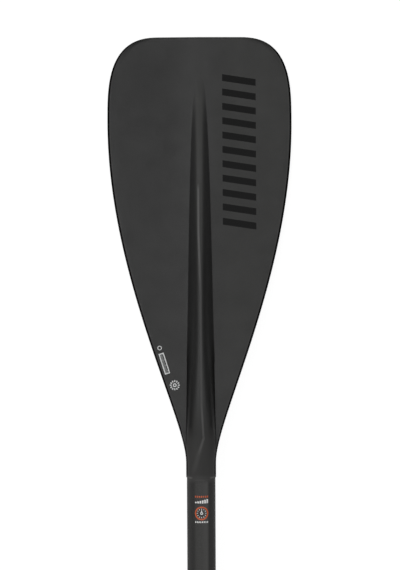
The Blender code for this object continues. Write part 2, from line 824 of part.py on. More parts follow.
pin_x = saddle_out + TOUCH_GAP + CAM_RADIUS + CAM_THROW
pin_place = (pin_x, ear_at, SCREW_HEIGHT)
lever_pin = add_object(
    "lever_pin",
    cylinder_mesh("lever_pin", LEVER_PIN_RADIUS, LEVER_WIDTH - PIN_SHORTER, ALONG, pin_place, ROUND_STEPS),
    STEEL, 0.3, 1.0,
)
pin_cross_hole = add_cutter(
    "pin_cross_cutter",
    cylinder_mesh(
        "pin_cross_cutter", SCREW_RADIUS + HOLE_CLEARANCE, CUT_THROUGH, ACROSS, pin_place, ROUND_STEPS
    ),
)
cut(lever_pin, pin_cross_hole)

screw_start = -EAR_OUTER - TOUCH_GAP
screw_end = pin_x + SCREW_BEYOND_PIN
head_end = screw_start - SCREW_HEAD_THICK
screw_points = [
    (0.0, screw_end),
    (SCREW_RADIUS - THREAD_CHAMFER, screw_end),
    (SCREW_RADIUS, screw_end - THREAD_CHAMFER),
    (SCREW_RADIUS, screw_start),
    (SCREW_HEAD_RADIUS, screw_start),
    (SCREW_HEAD_RADIUS, head_end + SCREW_HEAD_CHAMFER),
    (SCREW_HEAD_RADIUS - SCREW_HEAD_CHAMFER, head_end),
    (0.0, head_end),
]
screw = add_object("clamp_screw", profile_mesh("clamp_screw", screw_points, False), STEEL, 0.3, 1.0)
turn(screw, ROUND_STEPS)
aim(screw, ACROSS, screw_line)
hex_socket = add_cutter(
    "hex_socket_cutter",
    cylinder_mesh(
        "hex_socket_cutter", HEX_RADIUS, HEX_DEPTH * 2, ACROSS, (head_end, ear_at, SCREW_HEIGHT), 6
    ),
)
cut(screw, hex_socket)


def polar(radius, degrees, centre=(0.0, 0.0)):
    swing = math.radians(degrees)
    return (centre[0] + radius * math.cos(swing), centre[1] + radius * math.sin(swing))


cam_centre = (pin_x - CAM_THROW, SCREW_HEIGHT)
lever_outline = [polar(LEVER_ARM_INNER, LEVER_TIP_ANGLE + 12 * k) for k in range(7)]
lever_outline += [polar(CAM_RADIUS, a, cam_centre) for a in range(-118, -379, -20)]
for a in (44, 34, 24, 12, 0, -12):
    lever_outline.append(polar(mix(LEVER_ARM_OUTER, LEVER_BACK_RADIUS, ease(a, 15.0, 48.0)), a))
for a in (LEVER_TIP_ANGLE + 2, LEVER_TIP_ANGLE - 4):
    lever_outline.append(polar(LEVER_TIP_RADIUS, a))
lever = add_object(
    "clamp_lever", slab_mesh("clamp_lever", lever_outline, LEVER_WIDTH, ear_at), (0.025, 0.025, 0.027), 0.45
)
fork_slot = add_cutter(
    "fork_slot_cutter",
    cylinder_mesh("fork_slot_cutter", FORK_SLOT_RADIUS, LEVER_FORK_SLOT, ALONG, pin_place, ROUND_STEPS),
)
cut(lever, fork_slot)
pin_bore = add_cutter(
    "pin_bore_cutter",
    cylinder_mesh(
        "pin_bore_cutter", LEVER_PIN_RADIUS + TOUCH_GAP, LEVER_WIDTH + CUT_THROUGH, ALONG, pin_place,
        ROUND_STEPS,
    ),
)
cut(lever, pin_bore)

# upper tube with its alignment groove, and the plug that closes and guides its inner end

upper_end = middle_end - UPPER_EXPOSED
upper_top = upper_end + UPPER_LENGTH
upper = turned_part(
    "upper_shaft", tube_profile(FERRULE_BORE, FERRULE_RADIUS, upper_end, upper_top), True,
    (0.045, 0.045, 0.045), 0.45,
)
groove = add_cutter(
    "groove_cutter",
    box_mesh(
        "groove_cutter",
        (-GROOVE_WIDTH / 2, upper_end + GROOVE_STOP, -CUT_THROUGH),
        (GROOVE_WIDTH / 2, upper_top + CUT_THROUGH, -(FERRULE_RADIUS - GROOVE_DEPTH)),
    ),
)
cut(upper, groove)
guide_low = upper_top + TOUCH_GAP
guide_radius = BORE_RADIUS - HOLE_CLEARANCE
turned_part(
    "upper_guide_plug",
    [
        (0.0, guide_low + GUIDE_FLANGE),
        (guide_radius - GUIDE_CHAMFER, guide_low + GUIDE_FLANGE),
        (guide_radius, guide_low + GUIDE_FLANGE - GUIDE_CHAMFER),
        (guide_radius, guide_low),
        (FERRULE_BORE - TOUCH_GAP, guide_low),
        (FERRULE_BORE - TOUCH_GAP, upper_top - GUIDE_DEPTH),
        (0.0, upper_top - GUIDE_DEPTH),
    ],
    False, (0.06, 0.06, 0.065), 0.5,
)

# T handle: socket and bar moulded in one, soft palm pad, cross rivet

bar_at = upper_end - HANDLE_AXIS_BEYOND
bar_points = [(0.0, BAR_HALF_LENGTH), (BAR_END_FLAT, BAR_HALF_LENGTH)]
for k in range(1, 6):
    swing = math.radians(18.0 * k)
    bar_radius = mix(BAR_END_FLAT, BAR_RADIUS, math.sin(swing))
    bar_points.append((bar_radius, BAR_HALF_LENGTH - BAR_END_ROUND * (1 - math.cos(swing))))
bar_points.append((BAR_RADIUS - BAR_TAPER, BAR_FULL_AT))
bar_points.append((BAR_WAIST_RADIUS + BAR_TAPER, BAR_WAIST_AT))
bar_points.append((BAR_WAIST_RADIUS, 0.0))
bar_points += [(r, -x) for r, x in reversed(bar_points[:-1])]
bar_mesh = profile_mesh("handle_body", bar_points, False)
handle = add_object("handle_body", bar_mesh, (0.03, 0.03, 0.032), 0.55)
turn(handle, TUBE_STEPS - 4)
aim(handle, ACROSS, (0.0, bar_at, 0.0))
mouth = bar_at + SOCKET_MOUTH
sleeve = add_cutter(
    "handle_sleeve",
    profile_mesh(
        "handle_sleeve",
        [
            (0.0, mouth),
            (SOCKET_RADIUS - MOUTH_ROUND, mouth),
            (SOCKET_RADIUS, mouth - MOUTH_ROUND),
            (SOCKET_RADIUS, bar_at + SLEEVE_START),
            (0.0, bar_at + SLEEVE_START),
        ],
        False,
    ),
)
turn(sleeve, TUBE_STEPS)
aim(sleeve, ALONG, (0.0, 0.0, 0.0))
cut(handle, sleeve, "UNION")
web_outline = [
    (-WEB_FOOT, bar_at + SLEEVE_START * 2),
    (-WEB_FOOT, bar_at + BAR_WAIST_RADIUS * 0.7),
    (-SOCKET_RADIUS + MOUTH_ROUND, bar_at + WEB_REACH),
    (SOCKET_RADIUS - MOUTH_ROUND, bar_at + WEB_REACH),
    (WEB_FOOT, bar_at + BAR_WAIST_RADIUS * 0.7),
    (WEB_FOOT, bar_at + SLEEVE_START * 2),
]
web = add_cutter("handle_web", slab_mesh("handle_web", web_outline, WEB_THICK, 0.0))
web.rotation_euler = (math.radians(-90.0), 0.0, 0.0)
cut(handle, web, "UNION")
socket_bore = add_cutter(
    "socket_bore_cutter",
    cylinder_mesh(
        "socket_bore_cutter", FERRULE_RADIUS + SLIDE_CLEARANCE, SOCKET_BORE_DEPTH, ALONG,
        (0.0, upper_end - TOUCH_GAP * 2 + SOCKET_BORE_DEPTH / 2, 0.0), TUBE_STEPS,
    ),
)
cut(handle, socket_bore)
palm = add_cutter(
    "palm_cutter",
    box_mesh(
        "palm_cutter",
        (-PALM_CUT_REACH, bar_at - CUT_THROUGH, -CUT_THROUGH),
        (PALM_CUT_REACH, bar_at - PALM_FLAT, CUT_THROUGH),
    ),
)
cut(handle, palm)


def stadium(half_length, half_width, steps):
    points = []
    for side in (1, -1):
        for k in range(steps + 1):
            swing = math.radians(-90.0 + 180.0 * k / steps)
            x = side * (half_length - half_width + half_width * math.cos(swing))
            points.append((x, side * half_width * math.sin(swing)))
    return points


recess = add_cutter(
    "pad_recess_cutter",
    slab_mesh(
        "pad_recess_cutter", stadium(PAD_HALF_LENGTH, PAD_HALF_WIDTH, PAD_ROUND_STEPS), PAD_RECESS * 2,
        bar_at - PALM_FLAT,
    ),
)
cut(handle, recess)
pad_thick = PAD_RECESS - TOUCH_GAP + PAD_PROUD
pad_outline = stadium(PAD_HALF_LENGTH - TOUCH_GAP, PAD_HALF_WIDTH - TOUCH_GAP, PAD_ROUND_STEPS)
pad_middle = bar_at - PALM_FLAT - PAD_PROUD + pad_thick / 2
pad_mesh = slab_mesh("handle_pad", pad_outline, pad_thick, pad_middle)
add_object("handle_pad", pad_mesh, (0.10, 0.10, 0.105), 0.85)

rivet_at = bar_at + RIVET_BEYOND_BAR
rivet_hole = add_cutter(
    "rivet_hole_cutter",
    cylinder_mesh(
        "rivet_hole_cutter", RIVET_RADIUS + TOUCH_GAP, CUT_THROUGH * 2, ACROSS, (0.0, rivet_at, 0.0),
        ROUND_STEPS,
    ),
)
cut(handle, rivet_hole)
cut(upper, rivet_hole)
head_in = SOCKET_RADIUS + TOUCH_GAP
rivet_points = [
    (0.0, head_in + RIVET_HEAD_THICK),
    (RIVET_HEAD_RADIUS * 0.6, head_in + RIVET_HEAD_THICK * 0.85),
    (RIVET_HEAD_RADIUS, head_in + RIVET_HEAD_THICK * 0.3),
    (RIVET_HEAD_RADIUS, head_in),
    (RIVET_RADIUS, head_in),
]
rivet_points += [(r, -x) for r, x in reversed(rivet_points)]
rivet = add_object("handle_rivet", profile_mesh("handle_rivet", rivet_points, False), STEEL, 0.3, 1.0)
turn(rivet, ROUND_STEPS)
aim(rivet, ACROSS, (0.0, rivet_at, 0.0))

# lay the paddle on the floor, power face up, on the blade tip and the handle bar


def points_of(name):
    graph = bpy.context.evaluated_depsgraph_get()
    obj = bpy.data.objects[name].evaluated_get(graph)
    mesh = obj.to_mesh()
    place = obj.matrix_world
    found = np.array([place @ v.co for v in mesh.vertices])
    obj.to_mesh_clear()
    return found


bpy.context.view_layer.update()
tip_points = points_of("blade_back_skin")
grip_points = points_of("handle_body")


def lowest(points, tilt):
    return float(np.min(points[:, 1] * math.sin(tilt) + points[:, 2] * math.cos(tilt)))


low_tilt = 0.0
high_tilt = math.radians(15.0)
for _ in range(50):
    tilt = (low_tilt + high_tilt) / 2
    if lowest(tip_points, tilt) < lowest(grip_points, tilt):
        low_tilt = tilt
    else:
        high_tilt = tilt

reach = [float(np.dot((0.0, math.cos(tilt), -math.sin(tilt)), p)) for p in tip_points]
pad_points = points_of("handle_pad")
behind = [float(np.dot((0.0, math.cos(tilt), -math.sin(tilt)), p)) for p in pad_points]
rest.rotation_euler = (tilt, 0.0, 0.0)
rest.location = (0.0, -(max(reach) + min(behind)) / 2, -lowest(grip_points, tilt))
bpy.context.view_layer.update()
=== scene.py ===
import json
import math

import bmesh
import bpy
import numpy as np
from mathutils import Matrix, Vector


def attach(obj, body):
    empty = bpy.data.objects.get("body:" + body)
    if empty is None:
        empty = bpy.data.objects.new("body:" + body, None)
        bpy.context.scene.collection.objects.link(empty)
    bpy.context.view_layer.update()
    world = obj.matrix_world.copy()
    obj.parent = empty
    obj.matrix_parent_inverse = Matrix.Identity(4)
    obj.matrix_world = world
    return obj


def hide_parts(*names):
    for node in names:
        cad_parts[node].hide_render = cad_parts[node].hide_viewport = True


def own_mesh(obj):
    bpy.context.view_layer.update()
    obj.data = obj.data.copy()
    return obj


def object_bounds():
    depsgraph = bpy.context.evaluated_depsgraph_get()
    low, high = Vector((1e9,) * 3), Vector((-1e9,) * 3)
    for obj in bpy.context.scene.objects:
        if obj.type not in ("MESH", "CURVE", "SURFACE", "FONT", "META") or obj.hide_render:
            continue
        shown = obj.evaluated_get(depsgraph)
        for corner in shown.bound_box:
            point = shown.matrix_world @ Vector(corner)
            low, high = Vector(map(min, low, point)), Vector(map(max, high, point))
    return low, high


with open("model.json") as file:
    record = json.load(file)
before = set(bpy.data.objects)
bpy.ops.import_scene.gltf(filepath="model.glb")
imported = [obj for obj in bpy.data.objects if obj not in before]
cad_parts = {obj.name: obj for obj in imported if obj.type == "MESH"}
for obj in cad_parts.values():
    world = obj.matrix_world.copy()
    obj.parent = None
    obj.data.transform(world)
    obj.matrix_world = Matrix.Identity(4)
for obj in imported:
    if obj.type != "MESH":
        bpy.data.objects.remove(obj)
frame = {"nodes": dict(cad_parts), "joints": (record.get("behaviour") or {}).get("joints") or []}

cad_box = [list(map(float, corner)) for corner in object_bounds()]

# The paddle lies power face up on its blade tip and its handle bar, so the shaft slopes a little.
# Every piece is built along the shaft first: x across the blade, y from the neck lip to the tip,
# z out of the power face. The lever's pin, which the frame gives, fixes where that is in the room.
joint_facts = {j["name"]: j for j in frame["joints"]}
shaft_line = Vector(joint_facts["length_slide"]["axis"])
SHAFT_SLOPE = math.atan2(-shaft_line.z, -shaft_line.y)
LEVER_PIN_ON_SHAFT = Vector((0.01215, -1.107, 0.0215))
shaft_turn = Matrix.Rotation(SHAFT_SLOPE, 4, "X")
lip_place = Vector(joint_facts["lever_swing"]["pos_m"]) - shaft_turn @ LEVER_PIN_ON_SHAFT
on_shaft = Matrix.Translation(lip_place) @ shaft_turn


def finish_piece(name, bm, finish, body, stands_for=(), sharp=32.0):
    mesh = bpy.data.meshes.new(name)
    bmesh.ops.recalc_face_normals(bm, faces=bm.faces)
    bmesh.ops.transform(bm, matrix=on_shaft, verts=bm.verts)
    # no point stands lower or higher than the box round the CAD model
    for vert in bm.verts:
        vert.co.z = min(max(vert.co.z, cad_box[0][2]), cad_box[1][2])
    bm.to_mesh(mesh)
    bm.free()
    mesh.shade_smooth()
    mesh.set_sharp_from_angle(angle=math.radians(sharp))
    mesh.materials.append(finish)
    obj = bpy.data.objects.new(name, mesh)
    bpy.context.scene.collection.objects.link(obj)
    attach(obj, body)
    if stands_for:
        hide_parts(*stands_for)
    return obj


# Blade form. The outline is a straight tip edge with rounded corners, widest a fifth of the way up,
# drawn in to the round neck. A spine rises from the power face into the neck tube, and the back
# swells to the same tube. s runs from the tip to the neck lip.
BLADE_LENGTH = 0.440
BLADE_HALF_WIDTH = 0.092
WIDEST_AT = 0.085
TIP_STRAIGHT_HALF = 0.0397
TIP_BOW = 3.1
TIP_BOW_ROOT = 2.6
NECK_RADIUS = 0.0149
NECK_ROUND_AT = BLADE_LENGTH - 0.0145
SHOULDER_PULL = 0.154
NECK_PULL = 0.0467
BLADE_ANGLE = math.radians(10.0)
DIHEDRAL = math.radians(2.0)
DIHEDRAL_ROUND = 0.010
RIM_HALF_THICK = 0.0015
MIDDLE_HALF_THICK = 0.0026
RIM_FLANGE = 0.005
SKIN_WALL = 0.0007
LIP_WALL = 0.00045
SKIN_GAP = 0.0001
SPINE_START = 0.044
SPINE_WIDE_AT = BLADE_LENGTH - 0.080
SPINE_FULL_AT = BLADE_LENGTH - 0.055
SPINE_HALF_START = 0.0030
SPINE_HALF_WIDE = 0.0142
BACK_SWELLS_FROM = 0.180
TUBE_ROUND_AT = BLADE_LENGTH - 0.060
SEARCH_STEPS = 40
LINE_STEPS = 880


def share_of(value, low, high):
    return min(max((value - low) / (high - low), 0.0), 1.0)


def ease(value, low, high):
    t = share_of(value, low, high)
    return t * t * (3.0 - 2.0 * t)


def mix(a, b, share):
    return a + (b - a) * share


def swings(degrees, steps):
    return [math.radians(degrees * k / steps) for k in range(steps + 1)]


def toward_lip(s, far, near):
    return ease(s, BLADE_LENGTH - far, BLADE_LENGTH - near)


def search(low, high, is_below):
    for _ in range(SEARCH_STEPS):
        middle = (low + high) / 2
        if is_below(middle):
            low = middle
        else:
            high = middle
    return low


def curve(t, a, b, c, d):
    u = 1.0 - t
    return u**3 * a + 3 * u * u * t * b + 3 * u * t * t * c + t**3 * d


def tip_half_width(s):
    u = 1.0 - min(max(s, 0.0), WIDEST_AT) / WIDEST_AT
    return mix(TIP_STRAIGHT_HALF, BLADE_HALF_WIDTH, (1.0 - u**TIP_BOW) ** (1.0 / TIP_BOW_ROOT))


def half_width(s):
    if s <= WIDEST_AT:
        return tip_half_width(s)
    if s >= NECK_ROUND_AT:
        return NECK_RADIUS
    places = (WIDEST_AT, WIDEST_AT + SHOULDER_PULL, NECK_ROUND_AT - NECK_PULL, NECK_ROUND_AT)
    at_s = search(0.0, 1.0, lambda t: curve(t, *places) < s)
    return curve(at_s, BLADE_HALF_WIDTH, BLADE_HALF_WIDTH, NECK_RADIUS, NECK_RADIUS)


def tip_edge_at(x):
    if abs(x) <= TIP_STRAIGHT_HALF:
        return 0.0
    if abs(x) >= BLADE_HALF_WIDTH:
        return WIDEST_AT
    return search(0.0, WIDEST_AT, lambda s: tip_half_width(s) < abs(x))


def rim_inset(s, layer):
    # layer 0 is the outside of a skin, layer 1 its inside, with a flange left at the rim to bond
    return 0.0 if layer == 0 else mix(RIM_FLANGE, LIP_WALL, toward_lip(s, 0.140, 0.050))


def wall_inset(s, layer):
    return 0.0 if layer == 0 else mix(SKIN_WALL, LIP_WALL, toward_lip(s, 0.140, 0.060))


def layer_shift(s, layer):
    return rim_inset(s, layer) * (1.0 - ease(s, 0.060, 0.100))


def layer_half_width(s, layer):
    return half_width(max(s - layer_shift(s, layer), 0.0)) - rim_inset(s, layer)


def spine_half_width(s):
    on_blade = mix(SPINE_HALF_START, SPINE_HALF_WIDE, share_of(s, SPINE_START, SPINE_WIDE_AT) ** 0.4)
    return mix(on_blade, NECK_RADIUS, toward_lip(s, 0.080, 0.040))


def spine_height(s):
    rise = share_of(s, SPINE_START, SPINE_FULL_AT) ** 0.75 * mix(0.6, 1.0, ease(s, SPINE_START, 0.110))
    return mix(MIDDLE_HALF_THICK, NECK_RADIUS, rise)


def back_height(s):
    return mix(MIDDLE_HALF_THICK, NECK_RADIUS, ease(s, BACK_SWELLS_FROM, SPINE_FULL_AT))


def plate_half(s, x, layer):
    width = layer_half_width(s, layer)
    thick = mix(MIDDLE_HALF_THICK, RIM_HALF_THICK, min(abs(x) / width, 1.0)) - wall_inset(s, layer)
    thick = thick * (1.0 + toward_lip(s, 0.090, 0.040)) * (1.0 - toward_lip(s, 0.038, 0.008))
    side = max(width - abs(x), 0.0)
    ahead = 1.0
    if s < WIDEST_AT:
        ahead = max(max(s - layer_shift(s, layer), 0.0) - tip_edge_at(abs(x) + rim_inset(s, layer)), 0.0)
    away = side * ahead / math.hypot(side, ahead) if side + ahead > 0.0 else 0.0
    if away < RIM_HALF_THICK:
        thick = thick * math.sqrt(max(1.0 - (1.0 - away / RIM_HALF_THICK) ** 2, 0.0))
    return thick


def spined(s, x, layer, height, crown, foot):
    plate = plate_half(s, x, layer)
    half = spine_half_width(s) - wall_inset(s, layer)
    if abs(x) >= half or s <= SPINE_START:
        return plate
    top = max(height - wall_inset(s, layer), plate)
    return mix(plate, top, (1.0 - (abs(x) / half) ** crown) ** foot)


def face_lift(s, x, layer=0):
    crown = mix(2.4, 2.0, ease(s, 0.130, 0.270))
    return spined(s, x, layer, spine_height(s), crown, mix(1.5, 0.5, ease(s, 0.270, TUBE_ROUND_AT)))


def back_lift(s, x, layer=0):
    return spined(s, x, layer, back_height(s), 2.0, mix(1.3, 0.5, ease(s, 0.200, TUBE_ROUND_AT)))


def mid_surface(s, x):
    fall = math.tan(DIHEDRAL) * (math.hypot(x, DIHEDRAL_ROUND) - DIHEDRAL_ROUND)
    return -fall * (1.0 - toward_lip(s, 0.190, 0.055))


line_s = np.linspace(BLADE_LENGTH, 0.0, LINE_STEPS + 1)
from_lip = BLADE_LENGTH - line_s
line_lean = np.array([BLADE_ANGLE * (1.0 - toward_lip(s, 0.140, 0.048)) for s in line_s])
middle_lean = (line_lean[1:] + line_lean[:-1]) / 2
line_y = np.concatenate([[0.0], np.cumsum(np.cos(middle_lean)) * BLADE_LENGTH / LINE_STEPS])
line_z = np.concatenate([[0.0], -np.cumsum(np.sin(middle_lean)) * BLADE_LENGTH / LINE_STEPS])


def blade_point(s, x, z):
    lines = (line_lean, line_y, line_z)
    lean, y, down = (float(np.interp(BLADE_LENGTH - s, from_lip, line)) for line in lines)
    return (x, y + z * math.sin(lean), down + z * math.cos(lean))


# Composite skins. Two thin fibre shells, pressed in a mould and bonded round the rim over the foam:
# dark grey with a fine speckle and a satin surface, paler and matter on the neck and scuffed at the
# tip. Painted highlights lie beside and along the spine, on the neck, just inside the edges and at the
# lip, the tip's scuffs also paint a highlight on its edge, and painted shade darkens the sides of the
# neck. The bond shows as a near-black line round the outline.
BLADE_GREY = (0.0064, 0.0064, 0.0062)
BLADE_GREY_LIGHT = (0.0110, 0.0110, 0.0107)
SPINE_SHEEN_GREY = (0.0190, 0.0190, 0.0186)
RIGHT_WING_GREY = (0.0162, 0.0162, 0.0144)
LEFT_WING_GREY = (0.0040, 0.0040, 0.0039)
RIGHT_TIP_GREY = (0.0230, 0.0230, 0.0216)
TIP_GREY = (0.0230, 0.0230, 0.0226)
CROWN_HIGHLIGHT_GREY = (0.0242, 0.0242, 0.0226)
RIDGE_HIGHLIGHT_GREY = (0.0750, 0.0745, 0.0730)
NECK_GREY = (0.0380, 0.0376, 0.0366)
NECK_LEFT_HIGHLIGHT_GREY = (0.0560, 0.0554, 0.0538)
NECK_RIGHT_HIGHLIGHT_GREY = (0.0520, 0.0515, 0.0500)
NECK_SIDE_SHADE_BLACK = (0.0022, 0.0022, 0.0022)
STREAK_HIGHLIGHT_PALE = (0.0780, 0.0774, 0.0756)
PAINTED_HIGHLIGHT_GREY = (0.0640, 0.0634, 0.0620)
BOND_BLACK = (0.0016, 0.0016, 0.0016)
SCUFF_AND_EDGE_HIGHLIGHT_GREY = (0.052, 0.052, 0.050)
LIP_GLINT_PALE = (0.120, 0.118, 0.114)
CROWN_SHIFT = 0.0002
STREAK_FROM = 0.3993
STREAK_SHIFT = 0.0025
STREAK_LEAN = 0.307
SPINE_COLS = 24
WING_COLS = 12
RIM_COLS = 8
TIP_ROWS = 24
WING_ROWS = 34
NECK_ROWS = 36
NECK_ROWS_FROM = 0.300


def new_finish(name):
    mat = bpy.data.materials.new(name)
    mat.use_nodes = True
    return mat, mat.node_tree, mat.node_tree.nodes["Principled BSDF"]


def surface(tree, shader, tint, roughness, normal):
    tree.links.new(tint, shader.inputs["Base Color"])
    tree.links.new(roughness, shader.inputs["Roughness"])
    tree.links.new(normal, shader.inputs["Normal"])


def room_place(tree):
    return tree.nodes.new("ShaderNodeTexCoord").outputs["Object"]


def across_and_along(tree):
    apart = tree.nodes.new("ShaderNodeSeparateXYZ")
    tree.links.new(room_place(tree), apart.inputs["Vector"])
    return apart.outputs["X"], apart.outputs["Y"]


def grain(tree, scale, detail, rough, stretch=None):
    place = room_place(tree)
    if stretch:
        pulled = tree.nodes.new("ShaderNodeMapping")
        pulled.inputs["Scale"].default_value = stretch
        tree.links.new(place, pulled.inputs["Vector"])
        place = pulled.outputs["Vector"]
    noise = tree.nodes.new("ShaderNodeTexNoise")
    noise.inputs["Scale"].default_value = scale
    noise.inputs["Detail"].default_value = detail
    noise.inputs["Roughness"].default_value = rough
    tree.links.new(place, noise.inputs["Vector"])
    return noise.outputs["Fac"]


def ramp(tree, source, low, high, dark, light):
    stops = tree.nodes.new("ShaderNodeValToRGB")
    stops.color_ramp.elements[0].position = low
    stops.color_ramp.elements[0].color = (*dark, 1.0)
    stops.color_ramp.elements[1].position = high
    stops.color_ramp.elements[1].color = (*light, 1.0)
    tree.links.new(source, stops.inputs["Fac"])
    return stops.outputs["Color"]


def spread(tree, source, low, high, start=0.0, stop=1.0):
    span = tree.nodes.new("ShaderNodeMapRange")
    span.inputs["From Min"].default_value = start
    span.inputs["From Max"].default_value = stop
    span.inputs["To Min"].default_value = low
    span.inputs["To Max"].default_value = high
    tree.links.new(source, span.inputs["Value"])
    return span.outputs["Result"]


def bump(tree, source, strength, depth, under=None):
    raised = tree.nodes.new("ShaderNodeBump")
    raised.inputs["Strength"].default_value = strength
    raised.inputs["Distance"].default_value = depth
    tree.links.new(source, raised.inputs["Height"])
    if under is not None:
        tree.links.new(under, raised.inputs["Normal"])
    return raised.outputs["Normal"]


def over(tree, share, below, above):
    blend = tree.nodes.new("ShaderNodeMix")
    blend.data_type = "RGBA"
    tree.links.new(share, blend.inputs[0])
    tree.links.new(below, blend.inputs[6])
    blend.inputs[7].default_value = (*above, 1.0)
    return blend.outputs[2]


def maths(tree, operation, *terms):
    node = tree.nodes.new("ShaderNodeMath")
    node.operation = operation
    for socket, term in zip(node.inputs, terms):
        if isinstance(term, (int, float)):
            socket.default_value = term
        else:
            tree.links.new(term, socket)
    return node.outputs["Value"]


def times(tree, result, *shares):
    for share in shares:
        result = maths(tree, "MULTIPLY", result, share)
    return result


def away_from(tree, source, place):
    return maths(tree, "ABSOLUTE", maths(tree, "SUBTRACT", source, place))


def satin(tree, shader, facing_gloss, edge_gloss, share=None):
    # gloss falls away towards the outline, as it does on a fine-grained surface
    turned_off = tree.nodes.new("ShaderNodeLayerWeight").outputs["Facing"]
    level = spread(tree, turned_off, facing_gloss, edge_gloss, 0.30, 0.85)
    if share is not None:
        level = times(tree, level, share)
    tree.links.new(level, shader.inputs["Specular IOR Level"])


def room_y(s):
    return (on_shaft @ Vector(blade_point(s, 0.0, 0.0))).y


def lengthwise(tree, along, low, high, first, last):
    # goes from low at the first place on the blade to high at the last one
    return spread(tree, along, low, high, room_y(first), room_y(last))


def between(tree, along, first, full, last, gone):
    # a share that rises from the first place to the full one and is gone again after the last
    rise = lengthwise(tree, along, 0.0, 1.0, first, full)
    return times(tree, rise, lengthwise(tree, along, 0.0, 1.0, gone, last))


def wing_tones(tree, tint, across, along, off_centre):
    # painted sheen beside the spine and a painted highlight on its crown, paler on the right wing and towards
    # the tip
    # painted sheen beside the spine, strongest towards the tip
    beside_spine = spread(tree, off_centre, 0.95, 0.0, 0.006, 0.032)
    spine_sheen = times(tree, beside_spine, lengthwise(tree, along, 0.25, 1.0, 0.230, 0.110))
    tint = over(tree, spine_sheen, tint, SPINE_SHEEN_GREY)
    tint = over(tree, spread(tree, across, 0.0, 0.5, 0.008, 0.030), tint, RIGHT_WING_GREY)
    tint = over(tree, spread(tree, across, 0.6, 0.0, -0.040, -0.014), tint, LEFT_WING_GREY)
    on_right = spread(tree, across, 0.0, 0.5, 0.010, 0.040)
    right_tip = times(tree, on_right, lengthwise(tree, along, 0.0, 1.0, 0.130, 0.060))
    tint = over(tree, right_tip, tint, RIGHT_TIP_GREY)
    tint = over(tree, lengthwise(tree, along, 0.0, 0.5, 0.034, 0.006), tint, TIP_GREY)
    # painted highlight on the spine's crown
    crown = spread(tree, away_from(tree, across, -CROWN_SHIFT), 1.0, 0.0, 0.0024, 0.0054)
    crown = times(tree, crown, lengthwise(tree, along, 0.20, 1.0, 0.240, 0.130))
    crown = times(tree, crown, lengthwise(tree, along, 0.0, 1.0, 0.035, 0.065))
    return over(tree, crown, tint, CROWN_HIGHLIGHT_GREY)


def neck_tones(tree, tint, across, along):
    # painted highlights on both sides of the neck, and a painted highlight streak leaning across the top of
    # it
    # painted highlight on the left side of the neck
    on_left = spread(tree, across, 0.5, 0.0, -0.0070, -0.0010)
    on_left = times(tree, on_left, lengthwise(tree, along, 0.0, 1.0, 0.395, 0.415))
    tint = over(tree, on_left, tint, NECK_LEFT_HIGHLIGHT_GREY)
    # painted highlight on the right side of the neck
    on_right = spread(tree, across, 0.0, 0.9, 0.0020, 0.0110)
    on_right = times(tree, on_right, lengthwise(tree, along, 0.0, 1.0, 0.405, 0.430))
    tint = over(tree, on_right, tint, NECK_RIGHT_HIGHLIGHT_GREY)
    # painted highlight streak leaning across the top of the neck, in a wide and a thin part
    streak_start = STREAK_SHIFT - STREAK_LEAN * room_y(STREAK_FROM)
    off_streak = away_from(tree, across, maths(tree, "MULTIPLY_ADD", along, STREAK_LEAN, streak_start))
    wide = spread(tree, off_streak, 0.6, 0.0, 0.0008, 0.0034)
    wide = times(tree, wide, between(tree, along, 0.400, 0.412, 0.430, 0.438))
    tint = over(tree, wide, tint, PAINTED_HIGHLIGHT_GREY)
    thin = spread(tree, off_streak, 1.0, 0.0, 0.0004, 0.0017)
    thin = times(tree, thin, between(tree, along, 0.397, 0.400, 0.408, 0.417))
    return over(tree, thin, tint, STREAK_HIGHLIGHT_PALE)


def ridge_line(tree, tint, across, along):
    # one painted highlight line along the ridge of the spine, faint in the middle of its length
    ridge_x = lengthwise(tree, along, -0.0016, 0.0003, 0.195, 0.255)
    ridge_x = maths(tree, "ADD", ridge_x, lengthwise(tree, along, 0.0, 0.0004, 0.255, 0.366))
    ridge_x = maths(tree, "ADD", ridge_x, lengthwise(tree, along, 0.0, 0.0018, 0.366, 0.398))
    on_ridge = spread(tree, away_from(tree, across, ridge_x), 1.0, 0.0, 0.0004, 0.0014)
    tip_part = lengthwise(tree, along, 0.38, 1.0, 0.255, 0.205)
    strength = maths(tree, "MAXIMUM", tip_part, lengthwise(tree, along, 0.0, 0.85, 0.350, 0.380))
    ridge = times(tree, on_ridge, strength, between(tree, along, 0.146, 0.152, 0.396, 0.402))
    return over(tree, ridge, tint, RIDGE_HIGHLIGHT_GREY)


